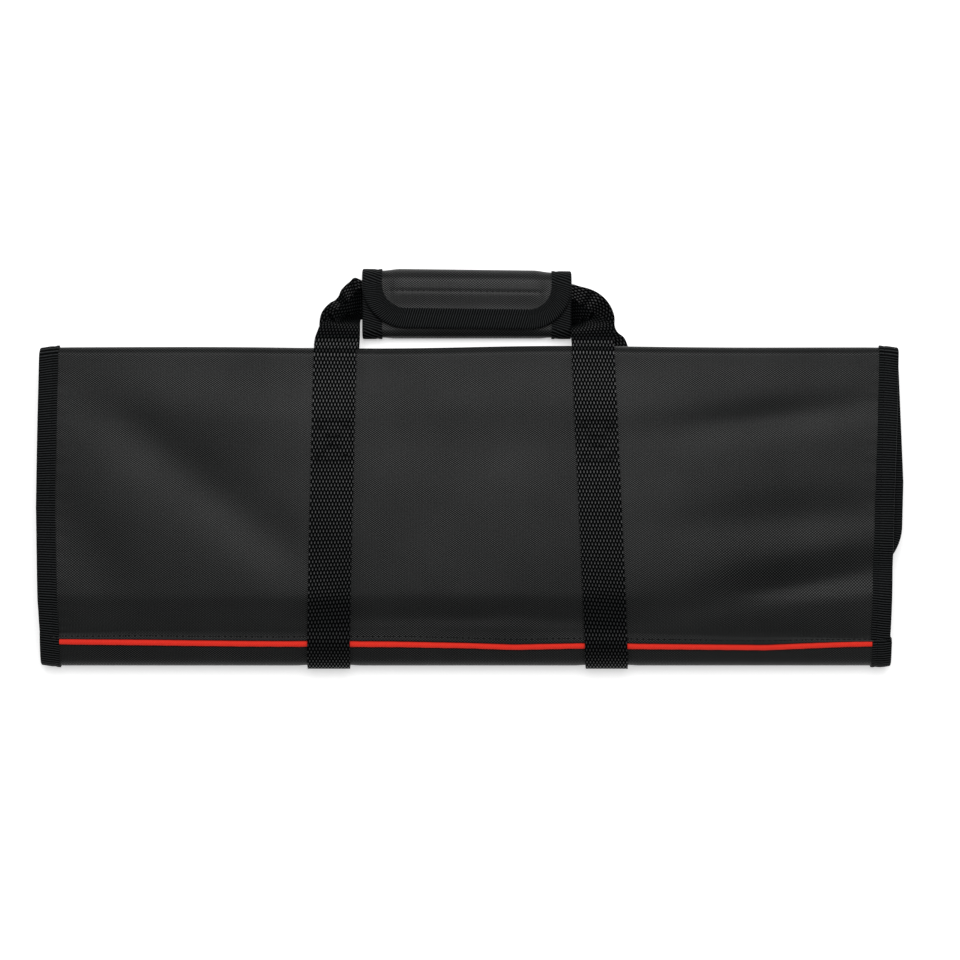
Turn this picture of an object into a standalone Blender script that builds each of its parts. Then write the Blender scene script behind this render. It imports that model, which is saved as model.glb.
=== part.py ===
"""A chef's knife roll, closed and lying on its back.

One padded cover is folded in four: an inner leaf, the front, the back and a second inner leaf.
Ribbed tape binds its whole edge, red piping fills the seam above the bottom fold, and webbing
runs round it on both sides and out to two handle loops, which a padded wrap holds together.
X runs along the roll, Y from the bottom fold to the handle, and Z up. Lengths are in metres.
"""

import math
from collections import namedtuple

import bpy
import numpy as np
from mathutils import Vector

MM = 0.001

# The closed cover
ROLL_LENGTH = 0.5104
PANEL_WIDTH = 0.188
ROLL_HEIGHT = 0.036
CLOTH_THICKNESS = 0.0022
FOLD_RADIUS = 0.004
LEAF_CORNER = 0.030
END_DROP = 0.10
BACK_SAG = 0.0013

# Tape, piping and webbing
TAPE_WIDTH = 0.0105
TAPE_THICKNESS = 0.0008
PIPING_RADIUS = 0.0018
PIPING_LIFT = 0.0006
WEBBING_WIDTH = 0.025
WEBBING_THICKNESS = 0.0016
WEBBING_RISE = 0.007
GAP = 0.0003

# Centre lines of the two straps, at the top of the front, the bottom fold and the top of the back
LEFT_STRAP = (-0.0791, -0.0836, -0.0785)
RIGHT_STRAP = (0.0722, 0.0809, 0.0815)
WEBBING_JOIN = 0.020

# The handle
FINGER_GAP = 0.0055
GRIP_LENGTH = 0.1241
GRIP_WIDTH = 0.041
GRIP_SHIFT = -0.0019
GRIP_CLOTH = 0.0020
GRIP_TAPE_WIDTH = 0.011
GRIP_TAPE_THICKNESS = 0.0006
FLAP_CORNER = 0.025
UNDER_END = 0.72
FLAP_END = 0.14
FRONT_LOOP_SHIFT = -0.0003
REAR_LOOP_SHIFT = 0.0010
LOOP_REACH = 0.014
LEAVE_ANGLE = 22.0

# How finely curves are divided, and how far rows of facets keep from each other
FACET_ANGLE = 20.0
GRIP_FACET_ANGLE = 30.0
CORNER_STEPS = 5
CURVE_SAMPLES = 24
ROW_CLEARANCE = 0.003
EDGE_STEP = 0.0005

# Places that follow from these sizes
OVERALL_WIDTH = PANEL_WIDTH + FINGER_GAP + GRIP_WIDTH
TOP_EDGE_Y = PANEL_WIDTH - OVERALL_WIDTH / 2
PANEL_SPAN = PANEL_WIDTH - CLOTH_THICKNESS
TOP_Y = TOP_EDGE_Y - CLOTH_THICKNESS / 2
WEBBING_OFFSET = CLOTH_THICKNESS / 2 + GAP + WEBBING_THICKNESS / 2
BACK_Z = WEBBING_OFFSET + WEBBING_THICKNESS / 2
FRONT_Z = ROLL_HEIGHT - WEBBING_OFFSET - WEBBING_THICKNESS / 2
PIPING_BUMP = PIPING_LIFT + PIPING_RADIUS - CLOTH_THICKNESS / 2
GRIP_LEFT = GRIP_SHIFT - GRIP_LENGTH / 2
GRIP_RIGHT = GRIP_SHIFT + GRIP_LENGTH / 2
GRIP_LOW_Y = TOP_EDGE_Y + FINGER_GAP
GRIP_MIDDLE_Y = GRIP_LOW_Y + GRIP_WIDTH / 2
BOUND_GRIP = GRIP_CLOTH + 2 * (GAP + GRIP_TAPE_THICKNESS)
FLOOR_LAYER_Z = BOUND_GRIP / 2
REAR_LOOP_Z = BOUND_GRIP + GAP + WEBBING_THICKNESS / 2
FRONT_LOOP_Z = REAR_LOOP_Z + WEBBING_THICKNESS + GAP
UNDER_LAYER_Z = FRONT_LOOP_Z + WEBBING_THICKNESS / 2 + GAP + BOUND_GRIP / 2
FLAP_Z = UNDER_LAYER_Z + BOUND_GRIP + GAP

# The cover's fold, from the free end of one inner leaf to the free end of the other. Down is a
# share of the panel's width below the top edge, inset and lift are fold radii, height is a share
# of the rise from back to front, left and right are insets of the ends in tape widths, dent and
# sag are the shares of the front's dents and the back's sag there, and facet is the length of
# the flat strips that follow, as a share of the panel's width.
Knot = namedtuple("Knot", "name down inset height lift heading left right dent sag facet")
COVER_FOLD = (
    Knot("front leaf end", 0.720, 0, 0.92, -2, 0, 0.10, 0.08, 0.0, 0, 0.22),
    Knot("front leaf middle", 0.42, 0, 0.95, -2, 0, 0.05, 0.00, 0.2, 0, 0.22),
    Knot("front leaf root", 0.000, 1, 0.95, -2, 0, 0.18, 0.25, 0.0, 0, 0.20),
    Knot("top fold", 0.000, 0, 0.95, -1, 90, 0.20, 0.28, 0.0, 0, 0.20),
    Knot("front top", 0.000, 1, 0.95, 0, 180, 0.17, 0.30, 0.0, 0, 0.07),
    Knot("front upper", 0.22, 0, 0.99, 0, 180, 0.10, 0.38, 1.0, 0, 0.07),
    Knot("front middle", 0.50, 0, 1.00, 0, 180, 0.00, 0.55, 1.0, 0, 0.07),
    Knot("front low", 0.765, 0, 0.972, 0, 183, 0.09, 0.69, 1.0, 0, 0.07),
    Knot("front crease", 0.800, 0, 0.942, 0, 196, 0.12, 0.71, 0.8, 0, 0.07),
    Knot("front hem", 0.895, 0, 0.790, 0, 197, 0.16, 0.66, 0.2, 0, 0.07),
    Knot("seam", 0.934, 0, 0.72, 0, 212, 0.15, 0.62, 0.0, 0, 0.07),
    Knot("bottom fold", 1.000, 0, 0.36, 0, 270, 0.12, 0.60, 0.0, 0, 0.20),
    Knot("back low", 0.900, 0, 0.00, 0, 360, 0.25, 0.78, 0.0, 0, 0.25),
    Knot("back middle", 0.50, 0, 0.00, 0, 360, 0.15, 0.70, 0.0, 1, 0.25),
    Knot("back top", 0.008, 1, 0.00, 0, 360, 0.30, 0.60, 0.0, 0, 0.20),
    Knot("rear fold", 0.008, 0, 0.00, 1, 450, 0.30, 0.60, 0.0, 0, 0.20),
    Knot("rear leaf root", 0.008, 1, 0.00, 2, 540, 0.30, 0.60, 0.0, 0, 0.25),
    Knot("rear leaf end", 0.800, 0, -0.02, 2, 540, 0.40, 0.70, 0.0, 0, 0.25),
)

# The front's dents. Along is a share of the roll's length from its middle, down a share of the
# panel's width, length and width are half sizes as shares of the panel's width, turn is in
# degrees from the X axis, and depth is in cloth thicknesses.
Dent = namedtuple("Dent", "along down length width turn depth")
FRONT_DENTS = (
    Dent(-0.32, 0.40, 0.50, 0.095, -38, 0.95),
    Dent(-0.46, 0.60, 0.32, 0.120, -46, 0.75),
    Dent(-0.24, 0.22, 0.30, 0.100, -20, -0.35),
    Dent(0.00, 0.30, 0.45, 0.110, 0, 0.30),
    Dent(0.37, 0.20, 0.36, 0.055, 8, 0.65),
    Dent(0.39, 0.53, 0.36, 0.070, 4, 0.80),
    Dent(0.39, 0.74, 0.42, 0.065, 10, 0.85),
    Dent(0.42, 0.88, 0.22, 0.050, 6, -0.50),
    Dent(0.02, 0.86, 0.50, 0.040, -2, 0.35),
)

# The loops' turns, in millimetres from the wrap's lower corner at that end. Out runs away from the
# wrap, up runs along Y and z from the floor. Each row has its outer edge, the crease that the
# webbing bunches up along, and its inner edge.
LoopRow = namedtuple(
    "LoopRow", "outer_out outer_up outer_z crease_out crease_up crease_z inner_out inner_up inner_z"
)
LEFT_FRONT_LOOP = (
    LoopRow(26.8, 0.5, 30.5, 14.0, 0.5, 30.4, 1.6, 0.5, 30.0),
    LoopRow(25.6, 4.0, 28.2, 13.4, 4.0, 27.8, 1.4, 4.0, 27.0),
    LoopRow(24.2, 7.2, 25.5, 13.6, 7.0, 25.0, 1.3, 6.8, 23.5),
    LoopRow(21.4, 10.8, 23.0, 14.0, 8.8, 22.2, 1.3, 8.4, 20.5),
    LoopRow(15.4, 16.9, 19.0, 10.6, 10.5, 18.2, 1.3, 10.5, 15.5),
    LoopRow(10.7, 20.5, 16.0, 8.0, 11.9, 14.6, 1.3, 11.3, 12.5),
    LoopRow(5.8, 25.4, 11.2, 4.4, 13.1, 10.2, 1.3, 11.8, 9.2),
    LoopRow(1.3, 30.0, 6.9, 1.3, 14.0, 6.9, 1.3, 12.0, 6.9),
    LoopRow(-4.0, 31.6, 6.8, -4.4, 14.8, 6.8, -4.7, 9.5, 6.8),
)
RIGHT_FRONT_LOOP = (
    LoopRow(24.5, 0.0, 30.5, 12.0, 0.0, 30.5, 0.9, 0.0, 30.5),
    LoopRow(24.7, 4.0, 28.0, 12.0, 3.4, 28.0, 1.3, 2.8, 28.0),
    LoopRow(23.6, 6.7, 26.0, 12.2, 5.6, 25.5, 1.3, 4.6, 25.0),
    LoopRow(21.0, 9.3, 23.5, 12.0, 7.6, 22.8, 1.3, 5.8, 21.5),
    LoopRow(16.9, 12.0, 21.0, 11.0, 9.6, 20.0, 1.3, 6.4, 18.0),
    LoopRow(12.8, 15.2, 18.0, 9.4, 10.6, 16.8, 1.3, 6.8, 14.5),
    LoopRow(8.1, 18.7, 14.4, 6.3, 9.6, 13.0, 1.3, 7.0, 11.5),
    LoopRow(4.6, 21.4, 10.4, 3.4, 8.6, 9.6, 1.3, 7.1, 8.9),
    LoopRow(1.3, 23.6, 6.9, 1.3, 8.0, 6.9, 1.3, 7.1, 6.9),
    LoopRow(-4.5, 27.5, 6.8, -4.5, 10.5, 6.8, -4.5, 7.4, 6.8),
)
LEFT_REAR_LOOP = (
    LoopRow(25.9, -4.2, 1.0, 14.0, -4.2, 1.0, 1.9, -4.2, 1.0),
    LoopRow(25.4, 2.8, 1.5, 13.4, 2.2, 1.5, 1.5, 1.6, 1.5),
    LoopRow(25.7, 9.3, 2.2, 13.4, 7.5, 2.1, 1.4, 5.8, 2.0),
    LoopRow(24.5, 15.5, 2.9, 12.8, 11.8, 2.7, 1.4, 8.1, 2.6),
    LoopRow(19.8, 21.3, 3.6, 10.6, 15.6, 3.4, 1.4, 9.9, 3.2),
    LoopRow(14.3, 25.5, 3.8, 7.8, 18.2, 3.8, 1.4, 11.0, 3.8),
    LoopRow(12.6, 29.3, 4.4, 7.0, 20.3, 4.2, 1.4, 11.3, 4.0),
    LoopRow(7.4, 34.3, 4.6, 4.4, 22.9, 4.6, 1.4, 11.6, 4.5),
    LoopRow(4.4, 36.4, 4.9, 2.9, 24.0, 4.9, 1.4, 11.7, 4.9),
    LoopRow(1.4, 34.4, 4.9, 1.2, 23.0, 4.9, 1.0, 11.7, 4.9),
    LoopRow(-2.0, 33.4, 4.9, -2.0, 22.0, 4.9, -2.0, 10.6, 4.9),
)
RIGHT_REAR_LOOP = (
    LoopRow(33.9, -4.2, 1.0, 21.7, -4.8, 1.0, 9.5, -5.4, 1.0),
    LoopRow(31.6, 1.0, 1.4, 19.0, -0.5, 1.3, 6.3, -2.0, 1.2),
    LoopRow(27.2, 4.9, 1.8, 15.0, 3.2, 1.7, 2.8, 1.6, 1.6),
    LoopRow(25.7, 13.4, 2.8, 13.6, 9.8, 2.7, 1.4, 5.9, 2.6),
    LoopRow(23.3, 19.9, 3.6, 12.4, 13.5, 3.5, 1.4, 7.0, 3.3),
    LoopRow(18.1, 26.0, 4.4, 9.8, 16.7, 4.2, 1.4, 7.5, 3.9),
    LoopRow(11.0, 29.9, 4.9, 6.2, 18.8, 4.8, 1.4, 7.7, 4.6),
    LoopRow(4.4, 31.7, 4.9, 2.9, 19.7, 4.9, 1.4, 7.7, 4.9),
    LoopRow(1.2, 32.6, 4.9, 1.1, 20.1, 4.9, 1.0, 7.8, 4.9),
    LoopRow(-3.0, 33.1, 4.9, -3.0, 20.6, 4.9, -3.0, 8.1, 4.9),
)

# How far the back keeps straight beside each strap's middle, as a share of the webbing's width
STRAP_REST = 0.6

# How many columns of facets each stretch of the cover has between its tapes and straps
END_COLUMNS = 5
MIDDLE_COLUMNS = 4
GRIP_COLUMNS = 5


class FoldedPath:
    """The run of a sheet through its folds, seen from the roll's end."""

    def __init__(self, knots, facet_angle):
        """Join knots of (name, y, z, heading, values, facet) with curves that keep each heading."""
        self.marks = {}
        self.rows = [0.0]
        ys, zs, headings, values = [], [], [], []
        for first, last in zip(knots, knots[1:]):
            turn = math.radians(last[3] - first[3])
            chord = math.hypot(last[1] - first[1], last[2] - first[2])
            reach = chord / (3 * math.cos(turn / 4) ** 2)
            ends = [np.array(knot[1:3]) for knot in (first, last)]
            ways = [np.array((math.cos(a), math.sin(a))) for a in np.radians((first[3], last[3]))]
            hull = (ends[0], ends[0] + reach * ways[0], ends[1] - reach * ways[1], ends[1])
            for step in range(CURVE_SAMPLES + (last is knots[-1])):
                t = step / CURVE_SAMPLES
                weights = ((1 - t) ** 3, 3 * t * (1 - t) ** 2, 3 * t * t * (1 - t), t ** 3)
                y, z = sum(w * p for w, p in zip(weights, hull))
                ys.append(y)
                zs.append(z)
                headings.append(first[3] + t * (last[3] - first[3]))
                values.append([(1 - t) * a + t * b for a, b in zip(first[4], last[4])])
        self.y, self.z = np.array(ys), np.array(zs)
        self.headings = np.array(headings)
        self.values = np.array(values)
        self.s = np.concatenate(([0.0], np.cumsum(np.hypot(np.diff(self.y), np.diff(self.z)))))
        self.length = self.s[-1]
        for index, knot in enumerate(knots):
            self.marks[knot[0]] = self.s[index * CURVE_SAMPLES]
        for first, last in zip(knots, knots[1:]):
            start, end = self.marks[first[0]], self.marks[last[0]]
            count = max(1, math.ceil(abs(last[3] - first[3]) / facet_angle), round((end - start) / first[5]))
            self.rows += [start + (end - start) * (i + 1) / count for i in range(count)]

    def at(self, s):
        """Return y and z at the length s along the path."""
        return np.interp(s, self.s, self.y), np.interp(s, self.s, self.z)

    def value(self, s, column):
        """Return one of the knots' blended values at the length s."""
        return np.interp(s, self.s, self.values[:, column])

    def place_rows(self, exact, clearance):
        """Put rows at the exact lengths, and drop the ordinary rows that lie too near them."""
        kept = [s for s in self.rows if min(abs(s - e) for e in exact) > clearance]
        self.rows = sorted(kept + list(exact))


def normal_at(point, x, s, step=0.0002):
    """Return the outer normal of the surface point(x, s)."""
    along = point(x + step, s) - point(x - step, s)
    down = point(x, s + step) - point(x, s - step)
    return down.cross(along).normalized()


def offset_point(point, x, s, distance):
    """Return the place at a distance outside the surface point(x, s)."""
    return point(x, s) + distance * normal_at(point, x, s)


def mesh_object(name, rows, closed=False):
    """Make a sheet of quads from rows of points, with the last row joined to the first if closed."""
    width = len(rows[0])
    points = [p for row in rows for p in row]
    faces = []
    for r in range(len(rows) - (not closed)):
        here, there = r * width, (r + 1) % len(rows) * width
        faces += [(here + c, here + c + 1, there + c + 1, there + c) for c in range(width - 1)]
    mesh = bpy.data.meshes.new(name)
    mesh.from_pydata(points, [], faces)
    obj = bpy.data.objects.new(name, mesh)
    roll.objects.link(obj)
    return obj


def thicken(obj, thickness, even=False):
    """Give a sheet its thickness, half to each side."""
    solid = obj.modifiers.new("Thickness", "SOLIDIFY")
    solid.thickness = thickness
    solid.offset = 0.0
    solid.use_even_offset = even


def paint(obj, colour, roughness):
    """Give an object its own cloth material."""
    material = bpy.data.materials.new(obj.name)
    material.use_nodes = True
    shader = material.node_tree.nodes["Principled BSDF"]
    shader.inputs["Base Color"].default_value = (*colour, 1.0)
    shader.inputs["Roughness"].default_value = roughness
    shader.inputs["Metallic"].default_value = 0.0
    obj.data.materials.append(material)


def cover_path():
    """Return the cover's fold with rows at its rounded corners and beside its seam."""
    knots = []
    for knot in COVER_FOLD:
        y = TOP_Y - knot.down * PANEL_SPAN - knot.inset * FOLD_RADIUS
        z = BACK_Z + knot.height * (FRONT_Z - BACK_Z) + knot.lift * FOLD_RADIUS
        values = (knot.left * TAPE_WIDTH, knot.right * TAPE_WIDTH, knot.dent, knot.sag)
        knots.append((knot.name, y, z, knot.heading, values, knot.facet * PANEL_WIDTH))
    path = FoldedPath(knots, FACET_ANGLE)
    seam = path.marks["seam"]
    seam_side = PIPING_RADIUS + GAP
    corners = [LEAF_CORNER * (1 - math.cos(math.pi / 2 * i / CORNER_STEPS)) for i in range(CORNER_STEPS + 1)]
    beside_seam = [seam + side for side in (-WEBBING_RISE, -seam_side, 0.0, seam_side, WEBBING_RISE)]
    path.place_rows(beside_seam, ROW_CLEARANCE)
    path.rows = [s for s in path.rows if LEAF_CORNER < s < path.length - LEAF_CORNER]
    path.rows = sorted(corners + path.rows + [path.length - s for s in corners])
    return path


def dent_depth(x, y):
    """Return how far the front is pressed in at a place."""
    depth = 0.0
    for dent in FRONT_DENTS:
        along = x - dent.along * ROLL_LENGTH
        across = y - (TOP_Y - dent.down * PANEL_SPAN)
        turn = math.radians(dent.turn)
        far = (along * math.cos(turn) + across * math.sin(turn)) / (dent.length * PANEL_WIDTH)
        near = (across * math.cos(turn) - along * math.sin(turn)) / (dent.width * PANEL_WIDTH)
        depth += dent.depth * CLOTH_THICKNESS * math.exp(-far * far - near * near)
    return depth


def cover_point(x, s):
    """Return the middle of the cover's cloth at x along the roll and s along its fold."""
    y, z = cover.at(s)
    end = min(abs(2 * x / ROLL_LENGTH), 1.0)
    z = BACK_Z + (z - BACK_Z) * (1 - END_DROP * end ** 3)
    z -= cover.value(s, 2) * dent_depth(x, y)
    inner = (RIGHT_STRAP[2] - LEFT_STRAP[2]) / 2 - WEBBING_WIDTH * STRAP_REST
    middle = (RIGHT_STRAP[2] + LEFT_STRAP[2]) / 2
    z -= cover.value(s, 3) * BACK_SAG * max(0.0, 1 - ((x - middle) / inner) ** 2)
    return Vector((x, y, z))


def strap_x(strap, s):
    """Return the centre line of a strap at the length s along the cover's fold."""
    marks = [cover.marks[name] for name in ("front top", "bottom fold", "back top")]
    return float(np.interp(s, marks, strap))


def spread(first, last, count):
    """Return the places that divide the run from first to last, without the first."""
    return [first + (last - first) * (i + 1) / count for i in range(count)]


def cover_ends(s):
    """Return the left and right ends of the cover at s, rounded in at its leaves' corners."""
    inner = min(max(s, LEAF_CORNER), cover.length - LEAF_CORNER)
    left = -ROLL_LENGTH / 2 + cover.value(inner, 0) + GAP + TAPE_THICKNESS
    right = ROLL_LENGTH / 2 - cover.value(inner, 1) - GAP - TAPE_THICKNESS
    return left, right, corner_inset(abs(s - inner), LEAF_CORNER)


def corner_inset(past, radius):
    """Return how far a rounded corner has drawn in, at a length past its start."""
    return radius - math.sqrt(max(radius ** 2 - past ** 2, 0.0))


def cover_columns(s):
    """Return the x of each column of the cover's facets at the length s."""
    left, right, inset = cover_ends(s)
    half = WEBBING_WIDTH / 2
    straps = [strap_x(strap, s) for strap in (LEFT_STRAP, RIGHT_STRAP)]
    xs = [left, left + TAPE_WIDTH]
    xs += spread(xs[-1], straps[0] - half, END_COLUMNS) + spread(straps[0] - half, straps[0] + half, 2)
    xs += spread(xs[-1], straps[1] - half, MIDDLE_COLUMNS) + spread(straps[1] - half, straps[1] + half, 2)
    xs += spread(xs[-1], right - TAPE_WIDTH, END_COLUMNS) + [right]
    narrow = (right - left - 2 * inset) / (right - left)
    return [left + inset + (x - left) * narrow for x in xs]


def build_cover(name, start, end, colour):
    """Make the part of the cover whose fold runs from start to end."""
    rows = [s for s in cover.rows if start <= s <= end]
    obj = mesh_object(name, [[cover_point(x, s) for x in cover_columns(s)] for s in rows])
    thicken(obj, CLOTH_THICKNESS)
    paint(obj, colour, 0.85)


def edge_side(rows, ends, is_left):
    """Return edge places (x, s, inward x, inward s) along one side of a sheet."""
    return [(ends(s)[0] if is_left else ends(s)[1], s, 1 if is_left else -1, 0) for s in rows]


def edge_corner(ends, is_left, centre_s, radius, is_last):
    """Return the edge places round one corner, from its side to its end."""
    side, way = (1 if is_left else -1), (1 if is_last else -1)
    edge = ends(centre_s)[0] if is_left else ends(centre_s)[1]
    places = []
    for i in range(1, CORNER_STEPS + 1):
        turn = math.pi / 2 * (CORNER_STEPS - i) / CORNER_STEPS
        reach, back = math.sin(turn), math.cos(turn)
        x, s = edge + side * radius * (1 - reach), centre_s + way * radius * back
        places.append((x, s, side * reach, -way * back))
    return places


def tape_row(point, place, cloth, width, thickness):
    """Return the four points of a folded tape's middle at one place on a sheet's edge."""
    x, s, in_x, in_s = place
    out = cloth / 2 + GAP + thickness / 2
    inward = (point(x + in_x * EDGE_STEP, s + in_s * EDGE_STEP) - point(x, s)).normalized()
    edge = point(x, s) - (GAP + thickness / 2) * inward
    normal = normal_at(point, x, s)
    lip_x, lip_s = x + in_x * width, s + in_s * width
    return [
        offset_point(point, lip_x, lip_s, out),
        edge + out * normal,
        edge - out * normal,
        offset_point(point, lip_x, lip_s, -out),
    ]


def build_edge_binding():
    """Bind the cover's whole edge: both sides, and the rounded ends of both leaves."""
    last = cover.length - LEAF_CORNER
    sides = [s for s in cover.rows if LEAF_CORNER - 1e-6 < s < last + 1e-6]
    ring = edge_side(sides, cover_ends, True)
    ring += edge_corner(cover_ends, True, last, LEAF_CORNER, True)
    ring += [(x, cover.length, 0, -1) for x in cover_columns(cover.length)[1:-1]]
    ring += edge_corner(cover_ends, False, last, LEAF_CORNER, True)[::-1]
    ring += edge_side(sides, cover_ends, False)[::-1]
    ring += edge_corner(cover_ends, False, LEAF_CORNER, LEAF_CORNER, False)
    ring += [(x, 0.0, 0, 1) for x in cover_columns(0.0)[-2:0:-1]]
    ring += edge_corner(cover_ends, True, LEAF_CORNER, LEAF_CORNER, False)[::-1]
    rows = [tape_row(cover_point, place, CLOTH_THICKNESS, TAPE_WIDTH, TAPE_THICKNESS) for place in ring]
    tape = mesh_object("edge_binding", rows, closed=True)
    thicken(tape, TAPE_THICKNESS, even=True)
    paint(tape, (0.006, 0.006, 0.007), 0.8)


def build_piping():
    """Lay the piping's cord in the seam, from one end tape to the other."""
    seam = cover.marks["seam"]
    columns = cover_columns(seam)[1:-1]
    columns[0] += GAP
    columns[-1] -= GAP
    curve = bpy.data.curves.new("piping", "CURVE")
    curve.dimensions = "3D"
    curve.bevel_depth = PIPING_RADIUS
    curve.bevel_resolution = 2
    curve.use_fill_caps = True
    spline = curve.splines.new("POLY")
    spline.points.add(len(columns) - 1)
    for node, x in zip(spline.points, columns):
        node.co = (*offset_point(cover_point, x, seam, PIPING_LIFT), 1.0)
    obj = bpy.data.objects.new("piping", curve)
    roll.objects.link(obj)
    paint(obj, (0.66, 0.03, 0.02), 0.7)


def strap_row(strap, side, s):
    """Return the outer edge, middle and inner edge of a strap laid on the cover."""
    rise = abs(s - cover.marks["seam"]) / WEBBING_RISE
    bump = PIPING_BUMP * math.cos(math.pi / 2 * min(rise, 1.0)) ** 2
    centre = strap_x(strap, s)
    half = WEBBING_WIDTH / 2
    return [
        offset_point(cover_point, centre + side * share * half, s, WEBBING_OFFSET + bump)
        for share in (1, 0, -1)
    ]


def flat_row(x, y, z, side):
    """Return a strap's row across X at one place."""
    return [Vector((x + side * share * WEBBING_WIDTH / 2, y, z)) for share in (1, 0, -1)]


def turn_rows(side, loop, shift, z):
    """Return the rows of a loop's turn, and one flat row inside the wrap."""
    end = GRIP_LEFT if side < 0 else GRIP_RIGHT
    rows = []
    for row in loop:
        rows.append([
            Vector((end + side * out * MM, GRIP_LOW_Y + up * MM, high * MM))
            for out, up, high in (row[0:3], row[3:6], row[6:9])
        ])
    x, middle = end - side * LOOP_REACH, GRIP_MIDDLE_Y + shift
    rows.append([Vector((x, middle + share * WEBBING_WIDTH / 2, z)) for share in (1, 0, -1)])
    return rows


def fold_rows(strap, side):
    """Return the rows from the front's top round its fold, to where the strap leaves the cover."""
    top = cover.marks["front top"]
    segment = slice(*np.searchsorted(cover.s, (cover.marks["top fold"], top + 1e-9)))
    leave = np.interp(180 - LEAVE_ANGLE, cover.headings[segment], cover.s[segment])
    arc = [s for s in cover.rows if leave + EDGE_STEP < s < top][::-1] + [leave]
    return [strap_row(strap, side, s) for s in arc]


def build_webbing(name, make_side):
    """Join the left and right halves of one length of webbing across the handle."""
    rows = make_side(-1) + make_side(1)[::-1]
    webbing = mesh_object(name, rows)
    thicken(webbing, WEBBING_THICKNESS)
    paint(webbing, (0.008, 0.008, 0.009), 0.75)


def front_half(side):
    """Return half of the front webbing: from the join under the back, round the front, to the handle."""
    strap, loop = (LEFT_STRAP, LEFT_FRONT_LOOP) if side < 0 else (RIGHT_STRAP, RIGHT_FRONT_LOOP)
    join = cover.marks["back low"] + WEBBING_JOIN
    top = cover.marks["front top"]
    laid = [s for s in cover.rows if top - 1e-9 < s < join - ROW_CLEARANCE] + [join]
    rows = [strap_row(strap, side, s) for s in laid[::-1]]
    return rows + fold_rows(strap, side) + turn_rows(side, loop, FRONT_LOOP_SHIFT, FRONT_LOOP_Z)


def rear_half(side):
    """Return half of the rear webbing: from the join, up the back, to the handle."""
    strap, loop = (LEFT_STRAP, LEFT_REAR_LOOP) if side < 0 else (RIGHT_STRAP, RIGHT_REAR_LOOP)
    join = cover.marks["back low"] + WEBBING_JOIN + GAP
    laid = [join] + [s for s in cover.rows if join + ROW_CLEARANCE < s < cover.marks["back top"] - EDGE_STEP]
    rows = [strap_row(strap, side, s) for s in laid]
    rows.append(flat_row(strap[2], TOP_EDGE_Y - FOLD_RADIUS, WEBBING_THICKNESS / 2, side))
    return rows + turn_rows(side, loop, REAR_LOOP_SHIFT, REAR_LOOP_Z)


def grip_path():
    """Return the handle wrap's turn, from its hidden end round the webbing to its free flap."""
    low_radius = (UNDER_LAYER_Z - FLOOR_LAYER_Z) / 2
    high_radius = (FLAP_Z - FLOOR_LAYER_Z) / 2
    half = BOUND_GRIP / 2
    low_y, high_y = GRIP_LOW_Y + half, GRIP_LOW_Y + GRIP_WIDTH - half
    flap_end = GRIP_LOW_Y + GRIP_WIDTH * FLAP_END + GAP + GRIP_TAPE_THICKNESS
    facet = GRIP_WIDTH / 2
    knots = (
        ("under end", GRIP_LOW_Y + GRIP_WIDTH * UNDER_END, UNDER_LAYER_Z, 180, (0,), facet),
        ("under fold", low_y + low_radius, UNDER_LAYER_Z, 180, (0,), facet),
        ("lower fold", low_y, FLOOR_LAYER_Z + low_radius, 270, (0,), facet),
        ("floor start", low_y + low_radius, FLOOR_LAYER_Z, 360, (0,), facet),
        ("floor end", high_y - high_radius, FLOOR_LAYER_Z, 360, (0,), facet),
        ("upper fold", high_y, FLOOR_LAYER_Z + high_radius, 450, (0,), facet),
        ("flap start", high_y - high_radius, FLAP_Z, 540, (0,), facet),
        ("flap end", flap_end, FLAP_Z, 540, (0,), facet),
    )
    path = FoldedPath(knots, GRIP_FACET_ANGLE)
    corner = [FLAP_CORNER * (1 - math.cos(math.pi / 2 * i / CORNER_STEPS)) for i in range(CORNER_STEPS + 1)]
    path.rows = [s for s in path.rows if s < path.length - FLAP_CORNER - 0.001]
    path.rows += sorted(path.length - s for s in corner)
    return path


def grip_point(x, s):
    """Return the middle of the wrap's cloth at x along the handle and s along its turn."""
    y, z = grip.at(s)
    return Vector((x, y, z))


def grip_ends(s):
    """Return the left and right ends of the wrap at s, rounded in at the flap's corners."""
    out = GAP + GRIP_TAPE_THICKNESS
    past = max(s - (grip.length - FLAP_CORNER), 0.0)
    return GRIP_LEFT + out, GRIP_RIGHT - out, corner_inset(past, FLAP_CORNER)


def grip_columns(s):
    """Return the x of each column of the wrap's facets at the length s."""
    left, right, inset = grip_ends(s)
    xs = [left] + spread(left, left + GRIP_TAPE_WIDTH, 1)
    xs += spread(xs[-1], right - GRIP_TAPE_WIDTH, GRIP_COLUMNS) + [right]
    narrow = (right - left - 2 * inset) / (right - left)
    return [left + inset + (x - left) * narrow for x in xs]


def build_grip():
    """Make the padded wrap and the tape bound round its two ends and its flap."""
    cloth = mesh_object("handle_wrap", [[grip_point(x, s) for x in grip_columns(s)] for s in grip.rows])
    thicken(cloth, GRIP_CLOTH)
    paint(cloth, (0.022, 0.023, 0.023), 0.85)
    last = grip.length - FLAP_CORNER
    sides = [s for s in grip.rows if s < last + 1e-6]
    ring = edge_side(sides, grip_ends, True)
    ring += edge_corner(grip_ends, True, last, FLAP_CORNER, True)
    ring += [(x, grip.length, 0, -1) for x in grip_columns(grip.length)[1:-1]]
    ring += edge_corner(grip_ends, False, last, FLAP_CORNER, True)[::-1]
    ring += edge_side(sides, grip_ends, False)[::-1]
    rows = [tape_row(grip_point, place, GRIP_CLOTH, GRIP_TAPE_WIDTH, GRIP_TAPE_THICKNESS) for place in ring]
    tape = mesh_object("wrap_binding", rows)
    thicken(tape, GRIP_TAPE_THICKNESS, even=True)
    paint(tape, (0.006, 0.006, 0.007), 0.8)


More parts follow.
